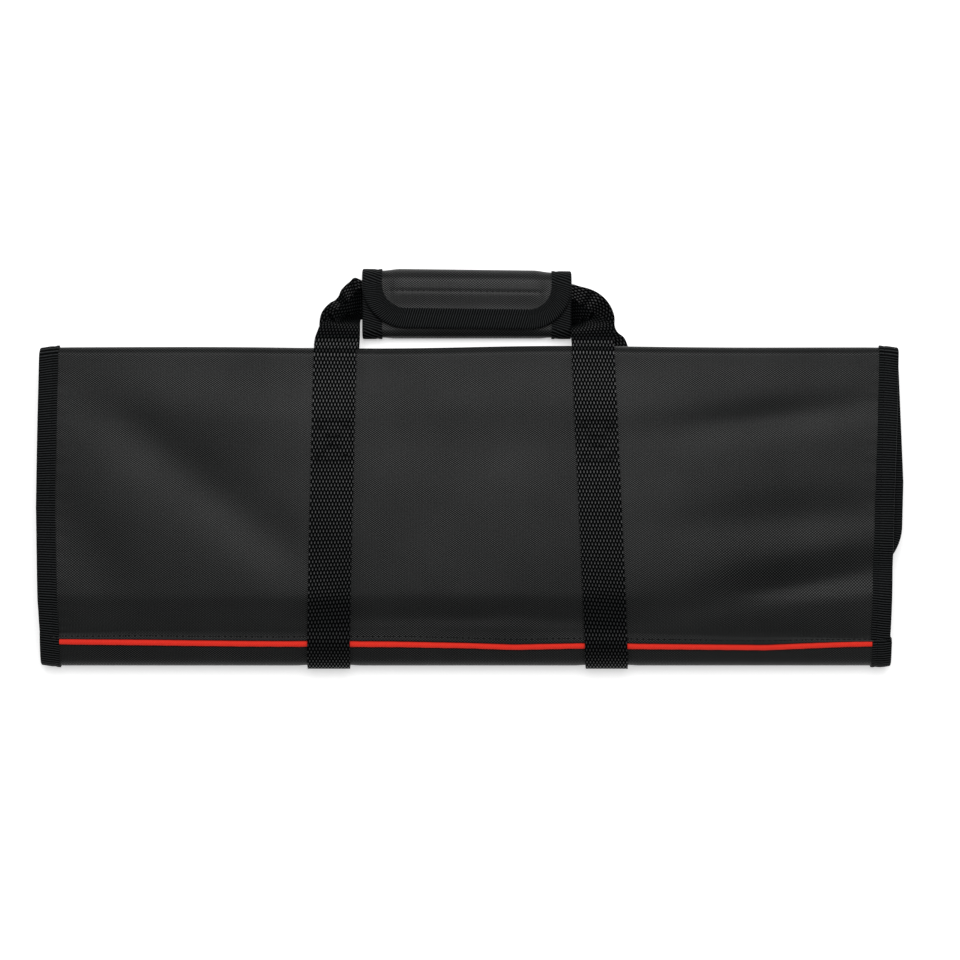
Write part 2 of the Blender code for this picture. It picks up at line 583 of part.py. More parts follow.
def build_roll():
    """Build every piece of the knife roll."""
    seam = cover.marks["seam"]
    seam_side = PIPING_RADIUS + GAP
    fabric = (0.022, 0.023, 0.023)
    build_cover("front_cover", 0.0, seam - seam_side + 1e-9, fabric)
    build_cover("back_cover", seam + seam_side - 1e-9, cover.length, fabric)
    build_piping()
    build_edge_binding()
    build_webbing("front_webbing", front_half)
    build_webbing("rear_webbing", rear_half)
    build_grip()


for old in list(bpy.data.objects):
    bpy.data.objects.remove(old)
roll = bpy.data.collections.new("chef_knife_roll")
bpy.context.scene.collection.children.link(roll)
cover = cover_path()
grip = grip_path()
build_roll()
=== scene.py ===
"""The looks of a chef's knife roll that lies closed on its back.

The cover, its tape and piping, the webbing and the padded handle wrap are made as fine cloth
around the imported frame. Lengths are in metres; X runs along the roll and Y up to its handle.
"""

import logging
import math
from dataclasses import dataclass, field
from enum import Enum
from typing import Any, Callable, NamedTuple, Sequence

import bpy
import numpy as np
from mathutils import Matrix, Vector


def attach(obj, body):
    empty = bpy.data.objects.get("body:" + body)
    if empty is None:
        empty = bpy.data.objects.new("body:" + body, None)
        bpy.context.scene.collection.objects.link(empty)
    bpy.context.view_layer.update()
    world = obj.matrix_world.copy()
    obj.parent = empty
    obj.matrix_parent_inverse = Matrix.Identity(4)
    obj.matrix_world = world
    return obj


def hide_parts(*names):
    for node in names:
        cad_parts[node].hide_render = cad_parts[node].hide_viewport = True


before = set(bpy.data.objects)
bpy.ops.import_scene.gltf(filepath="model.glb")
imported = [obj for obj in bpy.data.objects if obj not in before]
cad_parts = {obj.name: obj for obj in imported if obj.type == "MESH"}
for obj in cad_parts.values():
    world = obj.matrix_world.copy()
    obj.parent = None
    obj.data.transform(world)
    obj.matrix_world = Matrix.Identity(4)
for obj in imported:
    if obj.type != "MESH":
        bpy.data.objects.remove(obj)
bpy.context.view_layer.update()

logging.basicConfig(level=logging.INFO, format="%(message)s")
LOG = logging.getLogger("knife_roll")

MM = 0.001
THREAD_MAP = "Threads"
FLAT_SHARE = "Pressed"
FLOOR_CLEARANCE = 0.02 * MM


class Side(Enum):
    """The two straps and the two halves of each loop, by the sign of X."""

    LEFT = -1
    RIGHT = 1


class Knot(NamedTuple):
    """One place on the cover's fold, with the lengths as shares that the field names say.

    down is a share of the panel's span below the top edge, inset and lift are fold radii, height
    is a share of the rise from back to front, left and right are end insets in tape widths, dent
    and sag are shares of the front's dents and the back's sag, and step is the row spacing.
    """

    name: str
    down: float
    inset: float
    height: float
    lift: float
    heading: float
    left: float
    right: float
    dent: float
    sag: float
    step: float


class Dent(NamedTuple):
    """A long hollow or swell: place and half sizes as shares, turn in degrees, depth in cloths."""

    along: float
    down: float
    length: float
    width: float
    turn: float
    depth: float


class PathKnot(NamedTuple):
    """A knot worked out in metres, with the values that are blended between knots."""

    name: str
    y: float
    z: float
    heading: float
    values: tuple[float, ...]
    step: float


def linear(code: str) -> tuple[float, float, float, float]:
    """Turn an sRGB hex colour into a linear one.

    Args:
        code: The colour as six hex digits after a hash.

    Returns:
        Red, green, blue and an alpha of one.
    """
    shares = [int(code[i:i + 2], 16) / 255 for i in (1, 3, 5)]
    return (*[c / 12.92 if c <= 0.04045 else ((c + 0.055) / 1.055) ** 2.4 for c in shares], 1.0)


def add_node(
    tree: bpy.types.NodeTree, kind: str, inputs: dict[Any, Any] | None = None, **settings: Any
) -> Any:
    """Add a shader node with its settings, values and links.

    Args:
        tree: The node tree to add to.
        kind: The node's type name without its ShaderNode prefix.
        inputs: A value or an output socket for each named or numbered input.
        settings: The node's own properties.

    Returns:
        The new node.
    """
    made = tree.nodes.new("ShaderNode" + kind)
    for name, value in settings.items():
        setattr(made, name, value)
    for key, value in (inputs or {}).items():
        if isinstance(value, bpy.types.NodeSocket):
            tree.links.new(value, made.inputs[key])
        else:
            made.inputs[key].default_value = value
    return made


def math_node(tree: bpy.types.NodeTree, operation: str, *values: Any, clamp: bool = False) -> Any:
    """Return the output of a Math node of the given operation."""
    made = add_node(tree, "Math", dict(enumerate(values)), operation=operation, use_clamp=clamp)
    return made.outputs[0]


def blank_material(name: str) -> tuple[bpy.types.Material, Any]:
    """Return a new material and its Principled shader.

    Args:
        name: The material's name.

    Returns:
        The material and its shader node.
    """
    material = bpy.data.materials.new(name)
    material.use_nodes = True
    return material, material.node_tree.nodes["Principled BSDF"]


def thread_axes(tree: bpy.types.NodeTree) -> tuple[Any, Any, Any]:
    """Return the cloth's own coordinates in metres: the vector, across and along.

    Args:
        tree: The node tree to add to.

    Returns:
        The vector, the place across and the place along.
    """
    place = add_node(tree, "UVMap", uv_map=THREAD_MAP).outputs[0]
    parts = add_node(tree, "SeparateXYZ", {0: place})
    return place, parts.outputs[0], parts.outputs[1]


def wave(tree: bpy.types.NodeTree, place: Any, period: float) -> Any:
    """Return the sine of a place with the given period in metres."""
    return math_node(tree, "SINE", math_node(tree, "MULTIPLY", place, 2 * math.pi / period))


def blend(tree: bpy.types.NodeTree, share: Any, first: Any, second: Any) -> Any:
    """Return the colour between two colours at a share."""
    made = add_node(tree, "Mix", {0: share, 6: first, 7: second}, data_type="RGBA")
    return made.outputs[2]


@dataclass(frozen=True)
class WovenPolyester:
    """Coated 600 denier polyester: a fine plain weave that reads as light dots in offset rows.

    The real threads lie 0.6 mm apart; the dots are drawn at the pitch that the photo resolves. Their light is a
    painted highlight on the crowns.
    """

    across: float = 1.77 * MM
    along: float = 1.22 * MM
    light: str = "#383939"
    dark: str = "#040505"
    relief: float = 0.16 * MM
    roughness: float = 0.40
    gloss: float = 0.34

    def material(self, name: str) -> bpy.types.Material:
        """Build the cloth's material under a name.

        Args:
            name: The material's name.

        Returns:
            The new material.
        """
        material, shader = blank_material(name)
        tree = material.node_tree
        place, u, v = thread_axes(tree)
        wander = add_node(tree, "TexNoise", {"Vector": place, "Scale": 260.0, "Detail": 2.0}).outputs[0]
        shift = math_node(tree, "MULTIPLY_ADD", wander, 0.5 * MM, u)
        dots = math_node(tree, "MULTIPLY", wave(tree, shift, self.across), wave(tree, v, self.along))
        height = math_node(tree, "MULTIPLY_ADD", dots, 0.5, 0.5)
        crowns = math_node(tree, "POWER", height, 2.6)
        fleck = add_node(tree, "TexNoise", {"Vector": place, "Scale": 1400.0, "Detail": 1.0}).outputs[0]
        cloud = add_node(tree, "TexNoise", {"Vector": place, "Scale": 14.0, "Detail": 3.0}).outputs[0]
        patches = math_node(tree, "MULTIPLY_ADD", cloud, 0.24, -0.27)
        mottle = math_node(tree, "MULTIPLY_ADD", fleck, 0.30, patches)
        share = math_node(tree, "ADD", crowns, mottle, clamp=True)
        # Painted highlight: the crowns are coloured lighter and the ground between threads darker, as light and
        # shade on the weave; the mottle is the cloth's own uneven tone.
        colour = blend(tree, share, linear(self.dark), linear(self.light))
        bump = add_node(tree, "Bump", {"Height": height, "Strength": 0.35, "Distance": self.relief})
        gloss = math_node(tree, "MULTIPLY", math_node(tree, "MULTIPLY_ADD", share, 0.9, 0.1), self.gloss)
        tree.links.new(gloss, shader.inputs["Specular IOR Level"])
        tree.links.new(colour, shader.inputs["Base Color"])
        tree.links.new(bump.outputs[0], shader.inputs["Normal"])
        shader.inputs["Roughness"].default_value = self.roughness
        return material


@dataclass(frozen=True)
class RibbedTape:
    """Polyester binding tape: ribs across it every 1.44 mm, dull black with crowns painted greyer as their
    highlight.
    """

    pitch: float = 1.44 * MM
    light: str = "#393b3c"
    dark: str = "#010202"
    relief: float = 0.28 * MM
    slant: float = 0.0

    def material(self, name: str) -> bpy.types.Material:
        """Build the tape's material under a name.

        Args:
            name: The material's name.

        Returns:
            The new material.
        """
        material, shader = blank_material(name)
        tree = material.node_tree
        place, u, v = thread_axes(tree)
        wander = add_node(tree, "TexNoise", {"Vector": place, "Scale": 180.0, "Detail": 1.0}).outputs[0]
        leaning = math_node(tree, "MULTIPLY_ADD", u, self.slant, v)
        rib = wave(tree, math_node(tree, "MULTIPLY_ADD", wander, 0.3 * MM, leaning), self.pitch)
        crown = math_node(tree, "POWER", math_node(tree, "MULTIPLY_ADD", rib, 0.5, 0.5), 3.4)
        threads = math_node(tree, "MULTIPLY_ADD", wave(tree, u, 0.45 * MM), 0.12, 0.88)
        height = math_node(tree, "MULTIPLY", crown, threads)
        fleck = add_node(tree, "TexNoise", {"Vector": place, "Scale": 900.0, "Detail": 2.0}).outputs[0]
        uneven_highlight = math_node(tree, "MULTIPLY_ADD", fleck, 0.9, 0.45)
        share = math_node(tree, "MULTIPLY", height, uneven_highlight, clamp=True)
        # Painted highlight: the rib crowns are coloured greyer and the ground between them darker, unevenly at
        # random.
        colour = blend(tree, share, linear(self.dark), linear(self.light))
        bump = add_node(tree, "Bump", {"Height": height, "Strength": 0.8, "Distance": self.relief})
        tree.links.new(colour, shader.inputs["Base Color"])
        tree.links.new(bump.outputs[0], shader.inputs["Normal"])
        shader.inputs["Roughness"].default_value = 0.5
        shader.inputs["Specular IOR Level"].default_value = 0.02
        return material


@dataclass(frozen=True)
class WovenWebbing:
    """Heavy polyester webbing: oval floats in rows 2.25 mm apart, each row half a step on, painted bright as
    their highlight.
    """

    across: float = 1.96 * MM
    row: float = 2.25 * MM
    light: str = "#252627"
    dark: str = "#010202"
    weft: str = "#08090a"
    relief: float = 0.13 * MM
    gloss: float = 0.53

    def float_share(self, u: np.ndarray, v: np.ndarray) -> np.ndarray:
        """Return how high the weave stands, from 0 between the floats to 1 on them."""
        floats = np.sin(2 * np.pi * u / self.across) * np.sin(np.pi * v / self.row)
        return np.maximum(floats, 0.0) ** 1.2

    def material(self, name: str) -> bpy.types.Material:
        """Build the webbing's material under a name.

        Args:
            name: The material's name.

        Returns:
            The new material.
        """
        material, shader = blank_material(name)
        tree = material.node_tree
        place, u, v = thread_axes(tree)
        product = math_node(tree, "MULTIPLY", wave(tree, u, self.across), wave(tree, v, 2 * self.row))
        floats = math_node(tree, "POWER", math_node(tree, "MAXIMUM", product, 0.0), 1.2)
        pressed = add_node(tree, "Attribute", attribute_name=FLAT_SHARE).outputs["Fac"]
        floats = math_node(tree, "MULTIPLY", floats, math_node(tree, "SUBTRACT", 1.0, pressed))
        fleck = add_node(tree, "TexNoise", {"Vector": place, "Scale": 1100.0, "Detail": 2.0}).outputs[0]
        uneven_highlight = math_node(tree, "MULTIPLY_ADD", fleck, 1.1, 0.35)
        # Painted highlight: the floats are coloured bright and the weft ridges a little lighter than the dark
        # ground, so the weave's light and shade show where the mesh is coarse; the fleck noise makes the
        # highlight uneven.
        shade = math_node(tree, "MULTIPLY", floats, uneven_highlight, clamp=True)
        ridge = math_node(tree, "POWER", math_node(tree, "ABSOLUTE", wave(tree, v, 2 * self.row)), 6.0)
        ground = blend(tree, ridge, linear(self.dark), linear(self.weft))
        colour = blend(tree, shade, ground, linear(self.light))
        height = math_node(tree, "MULTIPLY_ADD", ridge, 0.25, floats)
        bump = add_node(tree, "Bump", {"Height": height, "Strength": 0.4, "Distance": self.relief})
        tree.links.new(colour, shader.inputs["Base Color"])
        tree.links.new(bump.outputs[0], shader.inputs["Normal"])
        gloss = math_node(tree, "MULTIPLY", shade, self.gloss)
        tree.links.new(gloss, shader.inputs["Specular IOR Level"])
        shader.inputs["Roughness"].default_value = 0.39
        return material


@dataclass(frozen=True)
class PipingTwill:
    """Red cotton twill cut on the bias round a cord: slanting fine ribs, matt and a little dusty."""

    pitch: float = 1.3 * MM
    light: str = "#f03c2e"
    dark: str = "#cb231b"

    def material(self, name: str) -> bpy.types.Material:
        """Build the piping's material under a name.

        Args:
            name: The material's name.

        Returns:
            The new material.
        """
        material, shader = blank_material(name)
        tree = material.node_tree
        place, u, v = thread_axes(tree)
        slant = wave(tree, math_node(tree, "ADD", u, v), self.pitch)
        height = math_node(tree, "MULTIPLY_ADD", slant, 0.5, 0.5)
        fleck = add_node(tree, "TexNoise", {"Vector": place, "Scale": 800.0, "Detail": 2.0}).outputs[0]
        dust = math_node(tree, "MULTIPLY", fleck, 0.6)
        share = math_node(tree, "MULTIPLY_ADD", height, 0.5, dust, clamp=True)
        bump = add_node(tree, "Bump", {"Height": height, "Strength": 0.5, "Distance": 0.12 * MM})
        colour = blend(tree, share, linear(self.dark), linear(self.light))
        tree.links.new(colour, shader.inputs["Base Color"])
        tree.links.new(bump.outputs[0], shader.inputs["Normal"])
        shader.inputs["Roughness"].default_value = 0.75
        shader.inputs["Specular IOR Level"].default_value = 0.05
        shader.inputs["Sheen Weight"].default_value = 0.22
        shader.inputs["Sheen Tint"].default_value = linear("#ff6a58")
        return material


@dataclass(frozen=True)
class SewingThread:
    """Bonded polyester thread: smooth, hard and a touch glossier than the cloth."""

    colour: str = "#0d0e0e"

    def material(self, name: str) -> bpy.types.Material:
        """Build the thread's material under a name.

        Args:
            name: The material's name.

        Returns:
            The new material.
        """
        material, shader = blank_material(name)
        tree = material.node_tree
        place = add_node(tree, "TexCoord").outputs["Object"]
        twist = add_node(tree, "TexNoise", {"Vector": place, "Scale": 2500.0, "Detail": 1.0}).outputs[0]
        colour = blend(tree, twist, linear("#050505"), linear(self.colour))
        tree.links.new(colour, shader.inputs["Base Color"])
        shader.inputs["Roughness"].default_value = 0.45
        shader.inputs["Specular IOR Level"].default_value = 0.05
        return material


class FoldPath:
    """The run of a sheet through its folds, seen from the roll's end."""

    SAMPLES = 96

    def __init__(self, knots: Sequence[PathKnot]) -> None:
        """Join the knots with curves that keep each knot's heading.

        Args:
            knots: The places that the sheet passes, in order.
        """
        self.knots = list(knots)
        places, headings, values = [], [], []
        for first, last in zip(knots, knots[1:]):
            turn = math.radians(last.heading - first.heading)
            chord = math.hypot(last.y - first.y, last.z - first.z)
            reach = chord / (3 * math.cos(turn / 4) ** 2)
            start, end = np.array((first.y, first.z)), np.array((last.y, last.z))
            ways = [np.array((math.cos(a), math.sin(a))) for a in np.radians((first.heading, last.heading))]
            hull = np.array((start, start + reach * ways[0], end - reach * ways[1], end))
            t = np.arange(self.SAMPLES + (last is knots[-1])) / self.SAMPLES
            weights = np.stack(((1 - t) ** 3, 3 * t * (1 - t) ** 2, 3 * t * t * (1 - t), t ** 3))
            places.append(weights.T @ hull)
            headings.append(first.heading + t * (last.heading - first.heading))
            values.append(np.outer(1 - t, first.values) + np.outer(t, last.values))
        run = np.concatenate(places)
        self.y, self.z = run[:, 0], run[:, 1]
        self.headings = np.concatenate(headings)
        self.values = np.concatenate(values)
        self.s = np.concatenate(([0.0], np.cumsum(np.hypot(np.diff(self.y), np.diff(self.z)))))
        self.length = float(self.s[-1])
        self.marks = {knot.name: float(self.s[i * self.SAMPLES]) for i, knot in enumerate(knots)}

    def at(self, s: np.ndarray) -> tuple[np.ndarray, np.ndarray]:
        """Return y and z at the lengths s along the path."""
        return np.interp(s, self.s, self.y), np.interp(s, self.s, self.z)

    def value(self, s: np.ndarray, column: int) -> np.ndarray:
        """Return one of the knots' blended values at the lengths s."""
        return np.interp(s, self.s, self.values[:, column])

    def rows(self, start: float, end: float, angle: float = 8.0) -> np.ndarray:
        """Return row places from start to end, close on the folds and wide on the flats.

        Args:
            start: The first length along the path.
            end: The last length.
            angle: The largest turn between two rows, in degrees.

        Returns:
            The lengths in rising order, with both ends.
        """
        rows = [start]
        for first, last in zip(self.knots, self.knots[1:]):
            low, high = self.marks[first.name], self.marks[last.name]
            turns = math.ceil(abs(last.heading - first.heading) / angle)
            count = max(turns, math.ceil((high - low) / first.step))
            rows += [low + (high - low) * (i + 1) / count for i in range(count)]
        near = 0.4 * MM
        return np.array([start] + [s for s in rows if start + near < s < end - near] + [end])


PointMap = Callable[[np.ndarray, np.ndarray], np.ndarray]


def smooth(share: np.ndarray) -> np.ndarray:
    """Return a share from 0 to 1 eased at both ends."""
    held = np.clip(share, 0.0, 1.0)
    return held * held * (3 - 2 * held)


def curve_through(run: np.ndarray, knots: np.ndarray, at: np.ndarray) -> np.ndarray:
    """Return points on the smooth curve that passes through knots.

    Args:
        run: Each knot's place along the curve.
        knots: A row of values for each knot.
        at: The places that are wanted.

    Returns:
        A row of values for each wanted place.
    """
    slopes = np.gradient(knots, run, axis=0)
    first = np.clip(np.searchsorted(run, at, side="right") - 1, 0, len(run) - 2)
    gap = (run[first + 1] - run[first])[:, None]
    t = (at - run[first])[:, None] / gap
    start = (2 * t ** 3 - 3 * t ** 2 + 1) * knots[first] + (t ** 3 - 2 * t ** 2 + t) * gap * slopes[first]
    return start + (3 * t ** 2 - 2 * t ** 3) * knots[first + 1] + (t ** 3 - t ** 2) * gap * slopes[first + 1]


def unit(vectors: np.ndarray) -> np.ndarray:
    """Return vectors scaled to a length of one."""
    return vectors / np.maximum(np.linalg.norm(vectors, axis=-1, keepdims=True), 1e-12)


def normals_of(point: PointMap, x: np.ndarray, s: np.ndarray) -> np.ndarray:
    """Return the outer normals of a surface at places (x, s).

    Args:
        point: The surface.
        x: The places along the roll, in metres.
        s: The lengths along the fold, in metres.

    Returns:
        A unit vector for each place.
    """
    step = 0.25 * MM
    along = point(x + step, s) - point(x - step, s)
    down = point(x, s + step) - point(x, s - step)
    return unit(np.cross(down, along))


def grid_normals(grid: np.ndarray) -> np.ndarray:
    """Return the normals of a grid of points from its own neighbours."""
    return unit(np.cross(np.gradient(grid, axis=1), np.gradient(grid, axis=0)))


def closed_sheet(name: str, outer: np.ndarray, inner: np.ndarray, uv: np.ndarray, ring: bool = False,
                 pressed: np.ndarray | None = None) -> bpy.types.Object:
    """Make a closed solid of cloth from its outer and inner faces.

    Args:
        name: The piece's name.
        outer: The outer face's points by row and column.
        inner: The inner face's points, with as many rows but maybe fewer columns.
        uv: The outer face's own coordinates in metres, by row and column.
        ring: True if the last row meets the first.
        pressed: How flat the weave lies at each outer point, from 0 to 1.

    Returns:
        The new object, in the scene.
    """
    rows, wide = outer.shape[:2]
    thin = inner.shape[1]
    picks = np.round(np.linspace(0, wide - 1, thin)).astype(int)
    turns = rows if ring else rows - 1
    here = np.arange(turns)[:, None]
    there = (here + 1) % rows
    base = rows * wide
    c, d = np.arange(wide - 1)[None, :], np.arange(thin - 1)[None, :]
    top = np.stack((here * wide + c, there * wide + c, there * wide + c + 1, here * wide + c + 1), axis=-1)
    low = np.stack((base + here * thin + d, base + here * thin + d + 1,
                    base + there * thin + d + 1, base + there * thin + d), axis=-1)
    first = np.stack((here * wide, base + here * thin, base + there * thin, there * wide), axis=-1)
    last = np.stack((here * wide + wide - 1, there * wide + wide - 1,
                     base + there * thin + thin - 1, base + here * thin + thin - 1), axis=-1)
    quads = np.concatenate([part.reshape(-1, 4) for part in (top, low, first, last)])
    faces = quads.tolist()
    if not ring:
        end = (rows - 1) * wide
        faces.append([*range(wide), *(base + thin - 1 - np.arange(thin)).tolist()])
        far_inner = base + (rows - 1) * thin + np.arange(thin)
        faces.append([*(end + wide - 1 - np.arange(wide)).tolist(), *far_inner.tolist()])
    points = np.concatenate((outer.reshape(-1, 3), inner.reshape(-1, 3)))
    points[:, 2] = np.maximum(points[:, 2], FLOOR_CLEARANCE)
    mesh = bpy.data.meshes.new(name)
    mesh.from_pydata(points.tolist(), [], faces)
    places = np.concatenate((uv.reshape(-1, 2), uv[:, picks].reshape(-1, 2)))
    corners = np.empty(len(mesh.loops), dtype=np.int32)
    mesh.loops.foreach_get("vertex_index", corners)
    spots = places[corners]
    if ring:
        seam = np.repeat(np.isin(here.ravel(), [rows - 1]), 4)
        wrapped = np.concatenate([np.repeat(seam[::4], count) for count in (wide - 1, thin - 1, 1, 1)])
        step = 2 * uv[-1, 0, 1] - uv[-2, 0, 1]
        first_row = np.concatenate((np.arange(wide), base + np.arange(thin)))
        late = np.repeat(wrapped, 4) & np.isin(corners, first_row)
        spots[late, 1] += step
    layer = mesh.uv_layers.new(name=THREAD_MAP)
    layer.data.foreach_set("uv", spots.astype(np.float32).ravel())
    if pressed is not None:
        flat = mesh.attributes.new(FLAT_SHARE, "FLOAT", "POINT")
        held = np.concatenate((pressed.ravel(), pressed[:, picks].ravel()))
        flat.data.foreach_set("value", held.astype(np.float32))
    mesh.shade_smooth()
    mesh.set_sharp_from_angle(angle=math.radians(60))
    piece = bpy.data.objects.new(name, mesh)
    bpy.context.scene.collection.objects.link(piece)
    return piece


def settle(piece: bpy.types.Object, material: bpy.types.Material, slot: str, *nodes: str) -> None:
    """Dress a piece, put it on the frame, hide the frame's nodes that it replaces and log its faces.

    Args:
        piece: The finished piece.
        material: Its finish.
        slot: The record's material slot that it stands for; not used.
        nodes: The frame's nodes that it replaces.
    """
    piece.data.materials.clear()
    piece.data.materials.append(material)
    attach(piece, "root")
    if nodes:
        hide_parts(*nodes)
    LOG.info("%s: %d faces", piece.name, len(piece.data.polygons))


@dataclass
class Cover:
    """The padded cover: two lengths of cloth that meet at the piped seam."""

    length: float = 0.5104
    width: float = 0.188
    height: float = 0.036
    cloth: float = 0.0022
    fold_radius: float = 0.004
    corner: float = 0.030
    end_drop: float = 0.10
    back_sag: float = 0.0013
    tape: float = 0.0105
    tape_thickness: float = 0.0008
    gap: float = 0.0003
    piping: float = 0.00195
    webbing: float = 0.0016
    webbing_width: float = 0.025
    overall: float = 0.2345
    left_strap: tuple[float, float, float] = (-0.0791, -0.0836, -0.0785)
    right_strap: tuple[float, float, float] = (0.0722, 0.0809, 0.0815)
    column_step: float = 0.0031
    strap_rest: float = 0.6
    seam_reach: float = 14 * MM
    crease_reach: float = 35 * MM
    top_wave: float = 0.9 * MM
    top_wave_length: float = 260 * MM
    top_wave_reach: float = 140 * MM
    top_fold_reach: float = 22 * MM
    end_pull: float = 0.016
    end_reach: float = 14 * MM
    hem_rise: float = 1.05 * MM
    hem_top: float = 7.8 * MM
    hem_slope: float = 4.6 * MM
    hem_stitch: float = 4.6 * MM
    stitch_sink: float = 0.45 * MM
    stitch_groove: float = 0.80 * MM
    valley_depth: float = 1.45 * MM
    valley_down: float = 9.5 * MM
    valley_width: float = 6.2 * MM
    valley_reach: float = 92 * MM
    hem_pucker: float = 7.3 * MM
    side_pucker: float = 9.1 * MM
    strap_press: float = 0.35 * MM
    path: FoldPath = field(init=False)

    KNOTS = (
        Knot("front leaf end", 0.720, 0, 0.92, -2, 0, 0.10, 0.08, 0.0, 0, 0.008),
        Knot("front leaf middle", 0.42, 0, 0.95, -2, 0, 0.05, -0.04, 0.2, 0, 0.008),
        Knot("front leaf root", 0.000, 1, 0.95, -2, 0, 0.18, 0.25, 0.0, 0, 0.004),
        Knot("top fold", 0.000, 0, 0.95, -1, 90, 0.20, 0.28, 0.0, 0, 0.004),
        Knot("front top", 0.000, 1, 0.95, 0, 180, 0.17, 0.30, 0.0, 0, 0.0028),
        Knot("front upper", 0.22, 0, 0.99, 0, 180, 0.10, 0.38, 1.0, 0, 0.0028),
        Knot("front middle", 0.50, 0, 1.00, 0, 180, 0.00, 0.55, 1.0, 0, 0.0028),
        Knot("front low", 0.765, 0, 0.972, 0, 183, 0.09, 0.69, 1.0, 0, 0.0016),
        Knot("front crease", 0.800, 0, 0.942, 0, 196, 0.12, 0.71, 0.8, 0, 0.0016),
        Knot("front hem", 0.895, 0, 0.790, 0, 197, 0.16, 0.66, 0.2, 0, 0.0016),
        Knot("seam", 0.934, 0, 0.72, 0, 205, 0.15, 0.62, 0.0, 0, 0.0016),
        Knot("bottom fold", 1.000, 0, 0.36, 0, 270, 0.12, 0.60, 0.0, 0, 0.0028),
        Knot("back low", 0.900, 0, 0.00, 0, 360, 0.25, 0.78, 0.0, 0, 0.006),
        Knot("back middle", 0.50, 0, 0.00, 0, 360, 0.15, 0.70, 0.0, 1, 0.006),
        Knot("back top", 0.008, 1, 0.00, 0, 360, 0.30, 0.60, 0.0, 0, 0.004),
        Knot("rear fold", 0.008, 0, 0.00, 1, 450, 0.30, 0.60, 0.0, 0, 0.004),
        Knot("rear leaf root", 0.008, 1, 0.00, 2, 540, 0.30, 0.60, 0.0, 0, 0.008),
        Knot("rear leaf end", 0.800, 0, -0.02, 2, 540, 0.40, 0.70, 0.0, 0, 0.008),
    )
    DENTS = (
        Dent(-0.32, 0.40, 0.50, 0.095, -38, 0.95),
        Dent(-0.46, 0.60, 0.32, 0.120, -46, 0.75),
        Dent(-0.24, 0.22, 0.30, 0.100, -20, -0.35),
        Dent(0.00, 0.30, 0.45, 0.110, 0, 0.30),
        Dent(0.37, 0.20, 0.36, 0.055, 8, 0.95),
        Dent(0.39, 0.53, 0.36, 0.070, 4, 0.80),
        Dent(0.39, 0.735, 0.42, 0.055, 11, 1.60),
        Dent(0.40, 0.82, 0.40, 0.090, 8, 0.50),
        Dent(0.42, 0.88, 0.22, 0.050, 6, -0.50),
        Dent(0.02, 0.86, 0.50, 0.040, -2, 0.35),
    )
    # Where the seam wanders: a share of the roll's length from its middle, and how far up it lies
    SEAM_DRIFT = (
        (-0.50, 0.0021), (-0.42, 0.0016), (-0.26, 0.0006), (-0.08, 0.0002), (0.00, -0.0006), (0.05, -0.0016),
        (0.12, -0.0008), (0.25, -0.0014), (0.34, -0.0019), (0.43, 0.0002), (0.50, 0.0009),
    )

    # How far up from its knot the low crease runs, by the same shares of the length
    CREASE_DRIFT = (
        (-0.50, 0.0070), (-0.30, 0.0035), (-0.18, 0.0000), (-0.09, -0.0010), (0.06, -0.0015),
        (0.16, 0.0020), (0.28, 0.0090), (0.38, 0.0160), (0.50, 0.0220),
    )

    def __post_init__(self) -> None:
        """Work out the fold from the sizes."""
        self.top_y = self.width - self.overall / 2 - self.cloth / 2
        self.span = self.width - self.cloth
        self.webbing_offset = self.cloth / 2 + self.gap + self.webbing / 2
        self.back_z = self.webbing_offset + self.webbing / 2
        front_z = self.height - self.webbing_offset - self.webbing / 2
        knots = []
        for k in self.KNOTS:
            y = self.top_y - k.down * self.span - k.inset * self.fold_radius
            z = self.back_z + k.height * (front_z - self.back_z) + k.lift * self.fold_radius
            values = (k.left * self.tape, k.right * self.tape, k.dent, k.sag)
            knots.append(PathKnot(k.name, y, z, k.heading, values, k.step))
        self.path = FoldPath(knots)
        self.seam = self.path.marks["seam"]
        self.seam_side = self.piping + self.gap

    def dents(self, x: np.ndarray, y: np.ndarray) -> np.ndarray:
        """Return how far the front is pressed in at each place.

        Args:
            x: The places along the roll, in metres.
            y: The places across it.

        Returns:
            The depths in metres.
        """
        depth = np.zeros(np.broadcast(x, y).shape)
        for dent in self.DENTS:
            along = x - dent.along * self.length
            across = y - (self.top_y - dent.down * self.span)
            turn = math.radians(dent.turn)
            far = (along * math.cos(turn) + across * math.sin(turn)) / (dent.length * self.width)
            near = (across * math.cos(turn) - along * math.sin(turn)) / (dent.width * self.width)
            depth += dent.depth * self.cloth * np.exp(-far * far - near * near)
        return depth

    def strap_x(self, side: Side, s: np.ndarray) -> np.ndarray:
        """Return the centre line of a strap at the lengths s along the fold."""
        marks = [self.path.marks[name] for name in ("front top", "bottom fold", "back top")]
        return np.interp(s, marks, self.left_strap if side is Side.LEFT else self.right_strap)

